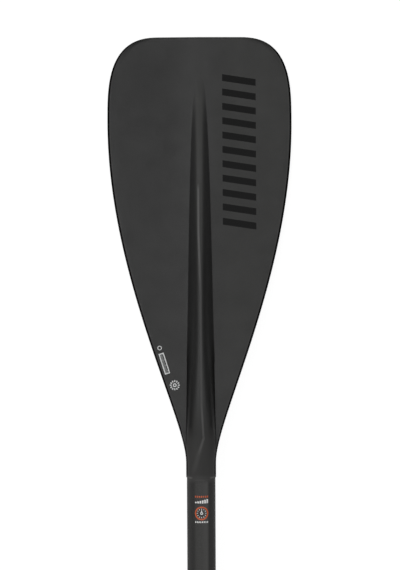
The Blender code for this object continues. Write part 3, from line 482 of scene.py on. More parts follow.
def rim_tones(tree, tint, gloss, along, power_face):
    # the bond line round the outline, a painted highlight beside it, and painted shade on the sides of the
    # neck
    outline = tree.nodes.new("ShaderNodeAttribute")
    outline.attribute_name = "from_edge"
    from_edge = outline.outputs["Fac"]
    # painted highlight just inside the outline, strongest on the neck
    edge_highlight = spread(tree, from_edge, 1.0, 0.0, 0.0018, 0.0036)
    edge_highlight = times(tree, edge_highlight, lengthwise(tree, along, 0.25, 0.75, 0.395, 0.415))
    tint = over(tree, edge_highlight, tint, PAINTED_HIGHLIGHT_GREY)
    # painted shade darkening the sides of the neck, which also takes the gloss off there
    dark_to, gone_at = (0.0012, 0.0020) if power_face else (0.0002, 0.0012)
    sides = spread(tree, from_edge, 0.9, 0.0, dark_to, gone_at)
    sides = times(tree, sides, lengthwise(tree, along, 0.0, 1.0, 0.385, 0.403))
    sides = times(tree, sides, lengthwise(tree, along, 1.0, 0.0, 0.4366, 0.4384))
    tint = over(tree, sides, tint, NECK_SIDE_SHADE_BLACK)
    bond_width = lengthwise(tree, along, 0.0017, 0.0, 0.390, 0.407)
    bond_width = maths(tree, "ADD", bond_width, lengthwise(tree, along, 0.0004, 0.0001, 0.395, 0.430))
    bond = spread(tree, maths(tree, "SUBTRACT", from_edge, bond_width), 1.0, 0.0, -0.0002, 0.0)
    tint = over(tree, bond, tint, BOND_BLACK)
    return tint, times(tree, gloss, spread(tree, bond, 1.0, 0.1), spread(tree, sides, 1.0, 0.3))


def worn_ends(tree, tint, along, off_centre):
    # scuff wear along the tip that also paints a highlight on its edge, a painted highlight band at the lip,
    # and a painted glint line on the lip's sides
    # scratch wear at the tip, pale enough to paint a highlight on the tip's edge too
    scratches = grain(tree, 420.0, 4.0, 0.7, (1.0, 0.3, 1.0))
    at_tip = lengthwise(tree, along, 0.0, 1.0, 0.0035, 0.0005)
    scuffs_and_edge_highlight = times(tree, at_tip, spread(tree, scratches, 0.45, 1.0, 0.44, 0.60))
    tint = over(tree, scuffs_and_edge_highlight, tint, SCUFF_AND_EDGE_HIGHLIGHT_GREY)
    # painted highlight band round the neck just before the lip
    tint = over(tree, lengthwise(tree, along, 0.0, 0.45, 0.4355, 0.4385), tint, PAINTED_HIGHLIGHT_GREY)
    # painted glint line on the sides of the lip
    lip_glint = lengthwise(tree, along, 0.0, 0.9, 0.4380, 0.4390)
    lip_glint = times(tree, lip_glint, spread(tree, off_centre, 0.0, 1.0, 0.0080, 0.0105))
    return over(tree, lip_glint, tint, LIP_GLINT_PALE)


def skin_finish(name, power_face):
    mat, tree, shader = new_finish(name)
    speckle = grain(tree, 900.0, 2.0, 0.6)
    cloud = grain(tree, 45.0, 4.0, 0.6)
    across, along = across_and_along(tree)
    off_centre = maths(tree, "ABSOLUTE", across)
    tint = ramp(tree, speckle, 0.34, 0.68, BLADE_GREY, BLADE_GREY_LIGHT)
    if power_face:
        tint = wing_tones(tree, tint, across, along, off_centre)
    neck_half = lengthwise(tree, along, 0.0095, 0.0165, 0.386, 0.404)
    in_neck = spread(tree, maths(tree, "SUBTRACT", off_centre, neck_half), 1.0, 0.0, -0.001, 0.001)
    in_neck = times(tree, in_neck, lengthwise(tree, along, 0.0, 1.0, 0.362, 0.402))
    tint = over(tree, in_neck, tint, NECK_GREY)
    gloss = spread(tree, in_neck, 1.0, 0.35)
    if power_face:
        tint = neck_tones(tree, tint, across, along)
        tint = ridge_line(tree, tint, across, along)
        on_flank = spread(tree, away_from(tree, off_centre, 0.0105), 0.45, 0.0, 0.0016, 0.0036)
        on_flank = times(tree, on_flank, between(tree, along, 0.300, 0.335, 0.388, 0.400))
        gloss = maths(tree, "SUBTRACT", gloss, on_flank)
    tint, gloss = rim_tones(tree, tint, gloss, along, power_face)
    tint = worn_ends(tree, tint, along, off_centre)
    matt = maths(tree, "MULTIPLY_ADD", in_neck, 0.18, spread(tree, cloud, 0.36, 0.46, 0.3, 0.7))
    surface(tree, shader, tint, matt, bump(tree, speckle, 0.25, 0.0002))
    satin(tree, shader, 0.32, 0.02, gloss)
    return mat


def blade_columns(s, layer):
    width = layer_half_width(s, layer)
    spine = min(spine_half_width(s) - wall_inset(s, layer), width)
    rim = min(RIM_HALF_THICK, 0.3 * (width - spine))
    half = [spine * math.sin(swing) for swing in swings(90.0, SPINE_COLS)[:-1]]
    half += [mix(spine, width - rim, (k / WING_COLS) ** 1.3) for k in range(WING_COLS)]
    half += [width - rim * (1.0 - math.sin(swing)) for swing in swings(90.0, RIM_COLS)]
    round_half = [width * math.sin(swing) for swing in swings(90.0, len(half) - 1)]
    share = toward_lip(s, 0.034, 0.015)
    half = [mix(a, b, share) for a, b in zip(half, round_half)]
    return [-x for x in reversed(half[1:])] + half


def blade_grid(bm, from_edge, layer, lift, side):
    rows = [WIDEST_AT * (k / TIP_ROWS) ** 2.2 for k in range(TIP_ROWS)]
    rows += [mix(WIDEST_AT, NECK_ROWS_FROM, k / WING_ROWS) for k in range(WING_ROWS)]
    rows += [mix(NECK_ROWS_FROM, BLADE_LENGTH, k / NECK_ROWS) for k in range(NECK_ROWS + 1)]
    rows = [s + rim_inset(0.0, layer) * max(1.0 - s / WIDEST_AT, 0.0) for s in rows]
    verts = []
    for s in rows:
        xs = blade_columns(s, layer)
        width = layer_half_width(s, layer)
        line = []
        for j, x in enumerate(xs):
            tall = 0.0 if j in (0, len(xs) - 1) else lift(s, x, layer)
            vert = bm.verts.new(blade_point(s, x, mid_surface(s, x) + side * (tall + SKIN_GAP)))
            vert[from_edge] = width - abs(x)
            line.append(vert)
        verts.append(line)
    for near, far in zip(verts, verts[1:]):
        for j in range(len(near) - 1):
            bm.faces.new((near[j], near[j + 1], far[j + 1], far[j]))
    loop = list(verts[0]) + [row[-1] for row in verts[1:]]
    return loop + list(reversed(verts[-1][:-1])) + [row[0] for row in reversed(verts[1:-1])]


def blade_skin(name, lift, side, node, finish):
    bm = bmesh.new()
    from_edge = bm.verts.layers.float.new("from_edge")
    outside = blade_grid(bm, from_edge, 0, lift, side)
    inside = blade_grid(bm, from_edge, 1, lift, side)
    for i in range(len(outside)):
        j = (i + 1) % len(outside)
        bm.faces.new((outside[j], outside[i], inside[i], inside[j]))
    finish_piece(name, bm, finish, "paddle", (node,), sharp=50.0)


blade_skin("blade_face", face_lift, 1, "blade_face_skin", skin_finish("blade_face_finish", True))
blade_skin("blade_back", back_lift, -1, "blade_back_skin", skin_finish("blade_back_finish", False))

# Blade marks. Flat ink printed on the power face: a column of slanted black bars on the right wing,
# and on the left edge, near the neck, a pale gauge strip, a ring and a twelve-tick dial.
INK_LIFT = 0.00004
BARS_FROM = 0.0375
BARS_TO = 0.193
BAR_COUNT = 11
BARS_INNER_X = 0.0228
BARS_OUTER_X = 0.0562
BAR_THICK = 0.0068
BAR_SLANT = 0.0050
BAR_STEPS = 10
GAUGE_CENTRE = (-0.0361, 0.3261)
GAUGE_HALF_LENGTH = 0.0107
GAUGE_HALF_WIDTH = 0.00265
GAUGE_LEAN = math.radians(-17.6)
GAUGE_FRAME = 0.0010
GAUGE_LINES = 14
GAUGE_LINE_HALF = 0.00048
GAUGE_SHORT_LINE = 0.0006
DIAL_CENTRE = (-0.0258, 0.3475)
DIAL_TICKS = 12
RING_CENTRE = (-0.0407, 0.3106)


def ink(name, dark, light, specular):
    mat, tree, shader = new_finish(name)
    worn = grain(tree, 500.0, 3.0, 0.65)
    tint = ramp(tree, worn, 0.30, 0.70, dark, light)
    surface(tree, shader, tint, spread(tree, worn, 0.30, 0.48), bump(tree, worn, 0.15, 0.0001))
    shader.inputs["Specular IOR Level"].default_value = specular
    return mat


def ink_strip(bm, spot, one_edge, other_edge, closed=False):
    rings = []
    for (a, b), (c, d) in zip(one_edge, other_edge):
        corners = ((a, b, INK_LIFT), (c, d, INK_LIFT), (c, d, -INK_LIFT), (a, b, -INK_LIFT))
        rings.append([bm.verts.new(spot(*corner)) for corner in corners])
    count = len(rings)
    for i in range(count if closed else count - 1):
        j = (i + 1) % count
        for k in range(4):
            m = (k + 1) % 4
            bm.faces.new((rings[i][k], rings[i][m], rings[j][m], rings[j][k]))
    if not closed:
        bm.faces.new(rings[0])
        bm.faces.new(list(reversed(rings[-1])))


def ink_ring(bm, spot, centre, outer, inner, steps):
    turn = [math.tau * k / steps for k in range(steps)]
    edges = []
    for radius in (outer, inner):
        edges.append([(centre[0] + radius * math.cos(a), centre[1] + radius * math.sin(a)) for a in turn])
    ink_strip(bm, spot, *edges, closed=True)


def dial_ticks(bm, spot, centre, inner, outer, inner_half, outer_half):
    for k in range(DIAL_TICKS):
        swing = math.tau * k / DIAL_TICKS
        out_way = Vector((math.cos(swing), math.sin(swing)))
        side_way = Vector((-out_way.y, out_way.x))
        near = Vector(centre) + out_way * inner
        far = Vector(centre) + out_way * outer
        one_edge = [tuple(near - side_way * inner_half), tuple(far - side_way * outer_half)]
        other_edge = [tuple(near + side_way * inner_half), tuple(far + side_way * outer_half)]
        ink_strip(bm, spot, one_edge, other_edge)


def on_face(x, s, out):
    return blade_point(s, x, mid_surface(s, x) + face_lift(s, x) + SKIN_GAP + out)


def gauge_spot(across, along):
    along_way = Vector((-math.sin(GAUGE_LEAN), math.cos(GAUGE_LEAN)))
    across_way = Vector((along_way.y, -along_way.x))
    return tuple(Vector(GAUGE_CENTRE) + across_way * across + along_way * along)


black_ink = ink("black_print", (0.0022, 0.0022, 0.0022), (0.0036, 0.0036, 0.0036), 0.10)
pale_ink = ink("pale_print", (0.580, 0.595, 0.590), (0.720, 0.730, 0.725), 0.25)
grey_ink = ink("grey_print", (0.180, 0.186, 0.184), (0.250, 0.256, 0.252), 0.25)

bm = bmesh.new()
for k in range(BAR_COUNT):
    start = mix(BARS_FROM, BARS_TO - BAR_THICK - BAR_SLANT, k / (BAR_COUNT - 1))
    across = [mix(BARS_INNER_X, BARS_OUTER_X, j / BAR_STEPS) for j in range(BAR_STEPS + 1)]
    near = [(x, start + BAR_SLANT * j / BAR_STEPS) for j, x in enumerate(across)]
    ink_strip(bm, on_face, near, [(x, s + BAR_THICK) for x, s in near])
finish_piece("wing_bars", bm, black_ink, "paddle")

field_long = GAUGE_HALF_LENGTH - GAUGE_FRAME
field_wide = GAUGE_HALF_WIDTH - GAUGE_FRAME
bm = bmesh.new()
for side in (-1, 1):
    steps = [mix(-GAUGE_HALF_LENGTH, GAUGE_HALF_LENGTH, j / 8) for j in range(9)]
    frame_edge = [gauge_spot(side * GAUGE_HALF_WIDTH, t) for t in steps]
    ink_strip(bm, on_face, frame_edge, [gauge_spot(side * field_wide, t) for t in steps])
for side in (-1, 1):
    steps = [mix(-field_wide, field_wide, j / 2) for j in range(3)]
    frame_edge = [gauge_spot(t, side * GAUGE_HALF_LENGTH) for t in steps]
    ink_strip(bm, on_face, frame_edge, [gauge_spot(t, side * field_long) for t in steps])
dial_ticks(bm, on_face, DIAL_CENTRE, 0.0031, 0.0049, 0.00045, 0.00070)
ink_ring(bm, on_face, DIAL_CENTRE, 0.0019, 0.0009, 24)
ink_ring(bm, on_face, RING_CENTRE, 0.0022, 0.0015, 24)
finish_piece("edge_gauge", bm, pale_ink, "paddle")

bm = bmesh.new()
for k in range(GAUGE_LINES):
    along = mix(-field_long, field_long, (k + 0.5) / GAUGE_LINES)
    reach = field_wide if k % 4 == 0 else GAUGE_SHORT_LINE
    low_edge = [gauge_spot(x, along - GAUGE_LINE_HALF) for x in (-field_wide, reach)]
    ink_strip(bm, on_face, low_edge, [gauge_spot(x, along + GAUGE_LINE_HALF) for x in (-field_wide, reach)])
finish_piece("edge_gauge_lines", bm, grey_ink, "paddle")

# Foam core. A light closed-cell block, cut to the blade's form and glued between the skins.
# It is wholly hidden, and pale cream with open cut cells.
FOAM_DARK = (0.60, 0.54, 0.38)
FOAM_LIGHT = (0.78, 0.72, 0.54)
foam_finish, tree, shader = new_finish("core_foam")
cells = tree.nodes.new("ShaderNodeTexVoronoi")
cells.inputs["Scale"].default_value = 700.0
tree.links.new(room_place(tree), cells.inputs["Vector"])
cell = cells.outputs["Distance"]
tint = ramp(tree, cell, 0.0, 0.8, FOAM_LIGHT, FOAM_DARK)
surface(tree, shader, tint, spread(tree, cell, 0.75, 0.95), bump(tree, cell, 0.5, 0.0004))


def refinish(node, finish):
    obj = frame["nodes"][node]
    obj.data.materials.clear()
    obj.data.materials.append(finish)


refinish("blade_foam_core", foam_finish)

# Moulded black plastic. Glass-filled nylon from a spark-eroded mould, with a fine even grain and a
# slightly clouded black. The plug in the neck, the clamp, the guide plug and the handle are made of it.
PLASTIC_BLACK = (0.0120, 0.0120, 0.0125)
PLASTIC_PALE = (0.0200, 0.0200, 0.0205)


def plastic_finish(name, rough_low, rough_high):
    mat, tree, shader = new_finish(name)
    fine = grain(tree, 2600.0, 2.0, 0.6)
    broad = grain(tree, 90.0, 4.0, 0.6)
    tint = ramp(tree, broad, 0.32, 0.70, PLASTIC_BLACK, PLASTIC_PALE)
    roughness = spread(tree, broad, rough_low, rough_high, 0.3, 0.7)
    dents = bump(tree, broad, 0.12, 0.0004)
    surface(tree, shader, tint, roughness, bump(tree, fine, 0.35, 0.00012, dents))
    return mat


moulded_finish = plastic_finish("moulded_plastic", 0.44, 0.58)
refinish("neck_plug", moulded_finish)

# Lower tube. A filament-wound fibre tube with a satin surface and faint turns of the winding in it,
# cut square and bonded in the neck of the blade, with a painted highlight beside the neck's lip.
SHAFT_RADIUS = 0.01425
TUBE_WALL = 0.0015
TUBE_BORE = SHAFT_RADIUS - TUBE_WALL
TUBE_EDGE = 0.0004
LOWER_END = -0.400
SOCKET_DEPTH = 0.045
TUBE_GREY = (0.0340, 0.0334, 0.0326)
TUBE_GREY_LIGHT = (0.0480, 0.0472, 0.0462)
TUBE_LIP_HIGHLIGHT_GREY = (0.0640, 0.0634, 0.0616)
LIP_Y = lip_place.y

tube_finish, tree, shader = new_finish("wound_tube")
speckle = grain(tree, 1100.0, 2.0, 0.6)
tows = grain(tree, 150.0, 3.0, 0.6, (1.0, 0.10, 1.0))
tint = ramp(tree, speckle, 0.34, 0.68, TUBE_GREY, TUBE_GREY_LIGHT)
_, along = across_and_along(tree)
# painted highlight on the tube beside the neck's lip
tube_lip_highlight = spread(tree, along, 0.0, 0.8, LIP_Y - 0.0055, LIP_Y - 0.0015)
tint = over(tree, tube_lip_highlight, tint, TUBE_LIP_HIGHLIGHT_GREY)
wound = tree.nodes.new("ShaderNodeTexWave")
wound.bands_direction = "DIAGONAL"
wound.inputs["Scale"].default_value = 60.0
wound.inputs["Distortion"].default_value = 1.2
tree.links.new(room_place(tree), wound.inputs["Vector"])
turns = bump(tree, wound.outputs["Fac"], 0.06, 0.0003)
roughness = spread(tree, tows, 0.44, 0.58, 0.3, 0.7)
surface(tree, shader, tint, roughness, bump(tree, speckle, 0.22, 0.0002, turns))
satin(tree, shader, 0.12, 0.05)


def turned(bm, profile, steps=96, centre=(0.0, 0.0, 0.0), along="y", closed=True):
    rings = []
    for radius, at in profile:
        ring = []
        for k in range(steps if radius > 0.0 else 1):
            swing = math.tau * k / steps
            a = radius * math.cos(swing)
            b = radius * math.sin(swing)
            spot = {"y": (a, at, b), "x": (at, a, b), "z": (a, b, at)}[along]
            ring.append(bm.verts.new(Vector(spot) + Vector(centre)))
        rings.append(ring)
    pairs = list(zip(rings, rings[1:]))
    if closed:
        pairs.append((rings[-1], rings[0]))
    for first, second in pairs:
        if len(first) == 1 and len(second) == 1:
            continue
        for k in range(steps):
            j = (k + 1) % steps
            if len(first) == 1:
                bm.faces.new((first[0], second[k], second[j]))
            elif len(second) == 1:
                bm.faces.new((first[k], second[0], first[j]))
            else:
                bm.faces.new((first[k], second[k], second[j], first[j]))


def tube_solid(inner, outer, low, high):
    bm = bmesh.new()
    profile = [(inner + TUBE_EDGE, high), (outer - TUBE_EDGE, high), (outer, high - TUBE_EDGE)]
    profile += [(outer, low + TUBE_EDGE), (outer - TUBE_EDGE, low), (inner + TUBE_EDGE, low)]
    profile += [(inner, low + TUBE_EDGE), (inner, high - TUBE_EDGE)]
    turned(bm, profile)
    return bm


bm = tube_solid(TUBE_BORE, SHAFT_RADIUS, LOWER_END, SOCKET_DEPTH)
finish_piece("lower_tube", bm, tube_finish, "paddle", ("lower_shaft",))

# Size label on the lower tube, just below the neck. A thin satin film with rounded corners, screen-
# printed in orange and white: dots, rising bars, and a plain round dial with ticks and one hand.
# The film's pale grey, brighter on its right side and fading to the tube's grey at its edges, is a
# painted highlight of the tube's sheen.
LABEL_MIDDLE_X = 0.0003
LABEL_HALF = 0.0076
LABEL_NEAR = -0.0020
LABEL_FAR = -0.1120
LABEL_CORNER = 0.0025
LABEL_DIAL_AT = -0.0345
LABEL_DIAL_RADIUS = 0.0069
LABEL_DIAL_LINE = 0.0014
ROW_HALF = 0.0066
FILM_HIGHLIGHT_GREY = (0.0480, 0.0476, 0.0462)
FILM_HIGHLIGHT_GREY_LIGHT = (0.0600, 0.0594, 0.0578)
FILM_RIGHT_HIGHLIGHT_GREY = (0.0900, 0.0893, 0.0870)
FILM_HIGHLIGHT_FADE_GREY = (0.0400, 0.0396, 0.0386)
orange_ink = ink("orange_print", (0.480, 0.085, 0.026), (0.600, 0.120, 0.040), 0.3)
white_ink = ink("white_print", (0.700, 0.700, 0.690), (0.850, 0.850, 0.840), 0.3)

label_highlight_finish, tree, shader = new_finish("label_film_with_painted_highlight")
speckle = grain(tree, 900.0, 2.0, 0.6)
across, along = across_and_along(tree)
# the film's grey is a painted highlight, paler on the right and fading to the tube's grey at the edges
tint = ramp(tree, speckle, 0.34, 0.68, FILM_HIGHLIGHT_GREY, FILM_HIGHLIGHT_GREY_LIGHT)
tint = over(tree, spread(tree, across, 0.0, 0.6, 0.0005, 0.0055), tint, FILM_RIGHT_HIGHLIGHT_GREY)
film_sides = spread(tree, away_from(tree, across, LABEL_MIDDLE_X), 0.0, 0.9, 0.0054, LABEL_HALF)
film_near = spread(tree, along, 0.0, 0.5, LIP_Y - 0.0050, LIP_Y + LABEL_NEAR)
film_far = spread(tree, along, 0.0, 0.9, LIP_Y + LABEL_FAR + 0.016, LIP_Y + LABEL_FAR)
film_edge = maths(tree, "MAXIMUM", film_sides, maths(tree, "MAXIMUM", film_near, film_far))
tint = over(tree, film_edge, tint, FILM_HIGHLIGHT_FADE_GREY)
surface(tree, shader, tint, spread(tree, speckle, 0.44, 0.56), bump(tree, speckle, 0.22, 0.0002))
satin(tree, shader, 0.12, 0.05)


def on_round(tube_radius, x, y, out):
    swing = x / tube_radius
    radius = tube_radius + out
    return (radius * math.sin(swing), y, radius * math.cos(swing))


def on_film(x, y, out):
    return on_round(SHAFT_RADIUS, LABEL_MIDDLE_X + x, y, out)


def on_label(x, y, out):
    return on_film(x, y, out + INK_LIFT)


def round_bar(bm, spot, x_low, x_high, y_low, y_high, steps):
    across = [mix(x_low, x_high, j / steps) for j in range(steps + 1)]
    ink_strip(bm, spot, [(x, y_low) for x in across], [(x, y_high) for x in across])


def label_row(bm, count, half, low, first_top, last_top):
    for k in range(count):
        share = k / (count - 1)
        middle = mix(-ROW_HALF + half, ROW_HALF - half, share)
        round_bar(bm, on_label, middle - half, middle + half, low, mix(first_top, last_top, share), 2)


label_x = [LABEL_HALF * math.sin(math.radians(90.0 * k / 16)) for k in range(-16, 17)]
near_edge = []
far_edge = []
for x in label_x:
    into_corner = max(abs(x) - (LABEL_HALF - LABEL_CORNER), 0.0)
    inset = LABEL_CORNER - math.sqrt(max(LABEL_CORNER**2 - into_corner**2, 0.0))
    near_edge.append((x, LABEL_NEAR - inset))
    far_edge.append((x, LABEL_FAR + inset))
bm = bmesh.new()
ink_strip(bm, on_film, near_edge, far_edge)
finish_piece("label_film_with_painted_highlight", bm, label_highlight_finish, "paddle")

dial_centre = (0.0, LABEL_DIAL_AT)
bm = bmesh.new()
label_row(bm, 7, 0.0006, -0.0186, -0.0168, -0.0168)
ink_ring(bm, on_label, dial_centre, LABEL_DIAL_RADIUS, LABEL_DIAL_RADIUS - LABEL_DIAL_LINE, 48)
finish_piece("label_orange", bm, orange_ink, "paddle")

hand_from = LABEL_DIAL_AT + 0.0011
hand_to = LABEL_DIAL_AT + 0.0034
bm = bmesh.new()
label_row(bm, 6, 0.0008, -0.0244, -0.0228, -0.0203)
label_row(bm, 8, 0.0005, -0.0442, -0.0426, -0.0426)
dial_ticks(bm, on_label, dial_centre, 0.0037, 0.0049, 0.0003, 0.0003)
ink_strip(bm, on_label, [(-0.0007, hand_from), (-0.0002, hand_to)], [(0.0007, hand_from), (0.0002, hand_to)])
ink_ring(bm, on_label, dial_centre, 0.0014, 0.0006, 32)
finish_piece("label_white", bm, white_ink, "paddle")

# Demountable joint. A ground fibre ferrule is bonded in the lower tube and slips into the middle
# tube, a foam plug keeps the lower half afloat, and a rubber ring closes the gap between the tubes.
SLIP_GAP = 0.0002
FERRULE_RADIUS = TUBE_BORE - SLIP_GAP
FERRULE_BORE = FERRULE_RADIUS - TUBE_WALL
GASKET_TOP = LOWER_END - SLIP_GAP
GASKET_THICK = 0.0016
GASKET_BULGE = 0.0004
FERRULE_GREY = (0.022, 0.022, 0.023)
FERRULE_GREY_LIGHT = (0.036, 0.036, 0.038)
RUBBER_BLACK = (0.010, 0.010, 0.010)
RUBBER_DUSTY = (0.020, 0.020, 0.020)
ferrule_finish, tree, shader = new_finish("ground_ferrule")
lathe = grain(tree, 300.0, 3.0, 0.6, (0.2, 14.0, 0.2))
speckle = grain(tree, 1400.0, 2.0, 0.6)
tint = ramp(tree, speckle, 0.3, 0.7, FERRULE_GREY, FERRULE_GREY_LIGHT)
surface(tree, shader, tint, spread(tree, lathe, 0.34, 0.52, 0.3, 0.7), bump(tree, lathe, 0.15, 0.0001))
refinish("joint_ferrule", ferrule_finish)
refinish("float_plug", foam_finish)

rubber_finish, tree, shader = new_finish("black_rubber")
dust = grain(tree, 1800.0, 3.0, 0.6)
tint = ramp(tree, dust, 0.3, 0.75, RUBBER_BLACK, RUBBER_DUSTY)
surface(tree, shader, tint, spread(tree, dust, 0.62, 0.82), bump(tree, dust, 0.3, 0.0001))

ring_profile = []
for swing in swings(180.0, 12):
    crown = SHAFT_RADIUS - GASKET_BULGE * (1.0 - math.sin(swing))
    ring_profile.append((crown, GASKET_TOP - GASKET_THICK / 2 * (1.0 - math.cos(swing))))
ring_bore = FERRULE_RADIUS + SLIP_GAP
ring_profile += [(ring_bore, GASKET_TOP - GASKET_THICK), (ring_bore, GASKET_TOP)]
bm = bmesh.new()
turned(bm, ring_profile)
finish_piece("joint_ring", bm, rubber_finish, "paddle", ("joint_gasket",), sharp=60.0)

# Press button. A turned stainless stud that stands through both tubes and locks the joint. Under it
# a strip of spring steel, folded to a V, lies in the ferrule and closes as the stud is pressed.
FIT = 0.00015
BUTTON_AT = LOWER_END - 0.045
BUTTON_RADIUS = 0.0040
BUTTON_TOP = SHAFT_RADIUS + 0.0025
BUTTON_DOME = 0.0016
BUTTON_FLANGE_RADIUS = 0.0050
BUTTON_FLANGE_TOP = 0.0094
BUTTON_FLANGE_LOW = BUTTON_FLANGE_TOP - 0.0010
STEEL_DARK = (0.46, 0.465, 0.475)
STEEL_LIGHT = (0.62, 0.625, 0.635)


def steel_finish(name, stretch, rough_low, rough_high):
    mat, tree, shader = new_finish(name)
    brushed = grain(tree, 500.0, 4.0, 0.65, stretch)
    cloud = grain(tree, 140.0, 3.0, 0.5)
    tint = ramp(tree, brushed, 0.30, 0.70, STEEL_DARK, STEEL_LIGHT)
    roughness = spread(tree, cloud, rough_low, rough_high, 0.3, 0.7)
    surface(tree, shader, tint, roughness, bump(tree, brushed, 0.12, 0.00005))
    shader.inputs["Metallic"].default_value = 1.0
    return mat


steel = steel_finish("stainless_turned", (1.0, 1.0, 12.0), 0.22, 0.34)
stud = [(0.0, BUTTON_TOP)]
for swing in swings(90.0, 12)[1:]:
    stud.append((BUTTON_RADIUS * math.sin(swing), BUTTON_TOP - BUTTON_DOME * (1.0 - math.cos(swing))))
stud += [(BUTTON_RADIUS, BUTTON_FLANGE_TOP), (BUTTON_FLANGE_RADIUS, BUTTON_FLANGE_TOP)]
stud += [(BUTTON_FLANGE_RADIUS, BUTTON_FLANGE_LOW), (0.0, BUTTON_FLANGE_LOW)]
bm = bmesh.new()
turned(bm, stud, 64, (0.0, BUTTON_AT, 0.0), "z", False)
finish_piece("button_stud", bm, steel, "button", ("snap_button",), sharp=40.0)

SPRING_HALF_WIDTH = 0.0035
SPRING_THICK = 0.0008
SPRING_END = BUTTON_AT - 0.0070
UPPER_BEND = BUTTON_AT + 0.0070
LOWER_BEND = BUTTON_AT + 0.0035
FOLD_RADIUS = 0.0022
FOLD_CENTRE = (BUTTON_AT + 0.0380 - FOLD_RADIUS, -0.0010)
FOLD_SWING = 78.0
BEND_REACH = 0.0030
upper_face = BUTTON_FLANGE_LOW - FIT
lower_face = FIT - math.sqrt(FERRULE_BORE**2 - SPRING_HALF_WIDTH**2)
upper_leg = upper_face - SPRING_THICK / 2
lower_leg = lower_face + SPRING_THICK / 2


def bend(before, corner, after):
    corner = Vector(corner)
    start = corner + (Vector(before) - corner).normalized() * BEND_REACH
    end = corner + (Vector(after) - corner).normalized() * BEND_REACH
    shares = [k / 6 for k in range(7)]
    return [start * (1.0 - t) ** 2 + corner * 2.0 * t * (1.0 - t) + end * t * t for t in shares]


fold = []
for k in range(17):
    swing = math.radians(FOLD_SWING - 2 * FOLD_SWING * k / 16)
    fold.append(Vector(FOLD_CENTRE) + Vector((math.cos(swing), math.sin(swing))) * FOLD_RADIUS)
strip = [Vector((SPRING_END, upper_leg))] + bend((SPRING_END, upper_leg), (UPPER_BEND, upper_leg), fold[0])
strip += fold + bend(fold[-1], (LOWER_BEND, lower_leg), (SPRING_END, lower_leg))
strip.append(Vector((SPRING_END, lower_leg)))
bm = bmesh.new()
rings = []
for i, spot in enumerate(strip):
    way = (strip[min(i + 1, len(strip) - 1)] - strip[max(i - 1, 0)]).normalized()
    out = Vector((-way.y, way.x)) * SPRING_THICK / 2
    ring = []
    for side, face in ((-1, 1), (1, 1), (1, -1), (-1, -1)):
        ring.append(bm.verts.new((side * SPRING_HALF_WIDTH, *(spot + out * face))))
    rings.append(ring)
for first, second in zip(rings, rings[1:]):
    for k in range(4):
        bm.faces.new((first[k], first[(k + 1) % 4], second[(k + 1) % 4], second[k]))
bm.faces.new(rings[0])
bm.faces.new(list(reversed(rings[-1])))
spring_finish = steel_finish("spring_strip", (12.0, 1.0, 1.0), 0.26, 0.36)
leaf_spring = finish_piece(
    "leaf_spring", bm, spring_finish, "paddle", ("button_spring",), sharp=40.0,
)
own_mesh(leaf_spring)

# Middle tube. Wound like the lower one, drilled for the button at one end and slit at the other,
# so that the clamp can squeeze it on the upper tube.
MIDDLE_TOP = GASKET_TOP - GASKET_THICK - SLIP_GAP
MIDDLE_LENGTH = 0.718
MIDDLE_END = MIDDLE_TOP - MIDDLE_LENGTH
SLIT = 0.0020
SLIT_LENGTH = 0.026
CUT_REACH = 0.030
BUTTON_HOLE_RADIUS = 0.0043


def shaped(bm, steps):
    # each step is UNION or DIFFERENCE with another solid, or SOFTEN with a grid size and passes
    work = bpy.data.objects.new("work", bpy.data.meshes.new("work"))
    bmesh.ops.recalc_face_normals(bm, faces=bm.faces)
    bm.to_mesh(work.data)
    bm.free()
    bpy.context.scene.collection.objects.link(work)
    tools = []
    for what, *details in steps:
        if what == "SOFTEN":
            grid = work.modifiers.new("grid", "REMESH")
            grid.mode = "VOXEL"
            grid.voxel_size = details[0]
            smooth = work.modifiers.new("smooth", "SMOOTH")
            smooth.factor = 0.5
            smooth.iterations = details[1]
            continue
        tool = bpy.data.objects.new("tool", bpy.data.meshes.new("tool"))
        bmesh.ops.recalc_face_normals(details[0], faces=details[0].faces)
        details[0].to_mesh(tool.data)
        details[0].free()
        bpy.context.scene.collection.objects.link(tool)
        joined = work.modifiers.new("joined", "BOOLEAN")
        joined.operation = what
        joined.solver = "EXACT"
        joined.object = tool
        tools.append(tool)
    result = bmesh.new()
    result.from_object(work, bpy.context.evaluated_depsgraph_get())
    # a cut can leave a sliver: near points are merged and what stays open is filled
    bmesh.ops.remove_doubles(result, verts=result.verts, dist=0.000001)
    bmesh.ops.dissolve_degenerate(result, edges=result.edges, dist=0.000001)
    rims = [edge for edge in result.edges if len(edge.link_faces) == 1]
    bmesh.ops.holes_fill(result, edges=rims, sides=0)
    for obj in [work] + tools:
        bpy.data.objects.remove(obj, do_unlink=True)
    return result


def rod(radius, centre, length, along, steps=64):
    bm = bmesh.new()
    ends = [(0.0, length / 2), (radius, length / 2), (radius, -length / 2), (0.0, -length / 2)]
    turned(bm, ends, steps, centre, along, False)
    return bm


def block(low, high):
    bm = bmesh.new()
    bmesh.ops.create_cube(bm, size=1.0)
    middle = (Vector(low) + Vector(high)) / 2
    place = Matrix.Translation(middle) @ Matrix.Diagonal((*(Vector(high) - Vector(low)), 1.0))
    bmesh.ops.transform(bm, matrix=place, verts=bm.verts)
    return bm


button_hole = rod(BUTTON_HOLE_RADIUS, (0.0, BUTTON_AT, CUT_REACH / 2), CUT_REACH, "z")
tube_slit = block(
    (-SLIT / 2, MIDDLE_END - CUT_REACH, TUBE_BORE / 2),
    (SLIT / 2, MIDDLE_END + SLIT_LENGTH, CUT_REACH),
)
bm = shaped(
    tube_solid(TUBE_BORE, SHAFT_RADIUS, MIDDLE_END, MIDDLE_TOP),
    [("DIFFERENCE", button_hole), ("DIFFERENCE", tube_slit)],
)
finish_piece("middle_tube", bm, tube_finish, "paddle", ("middle_shaft",))

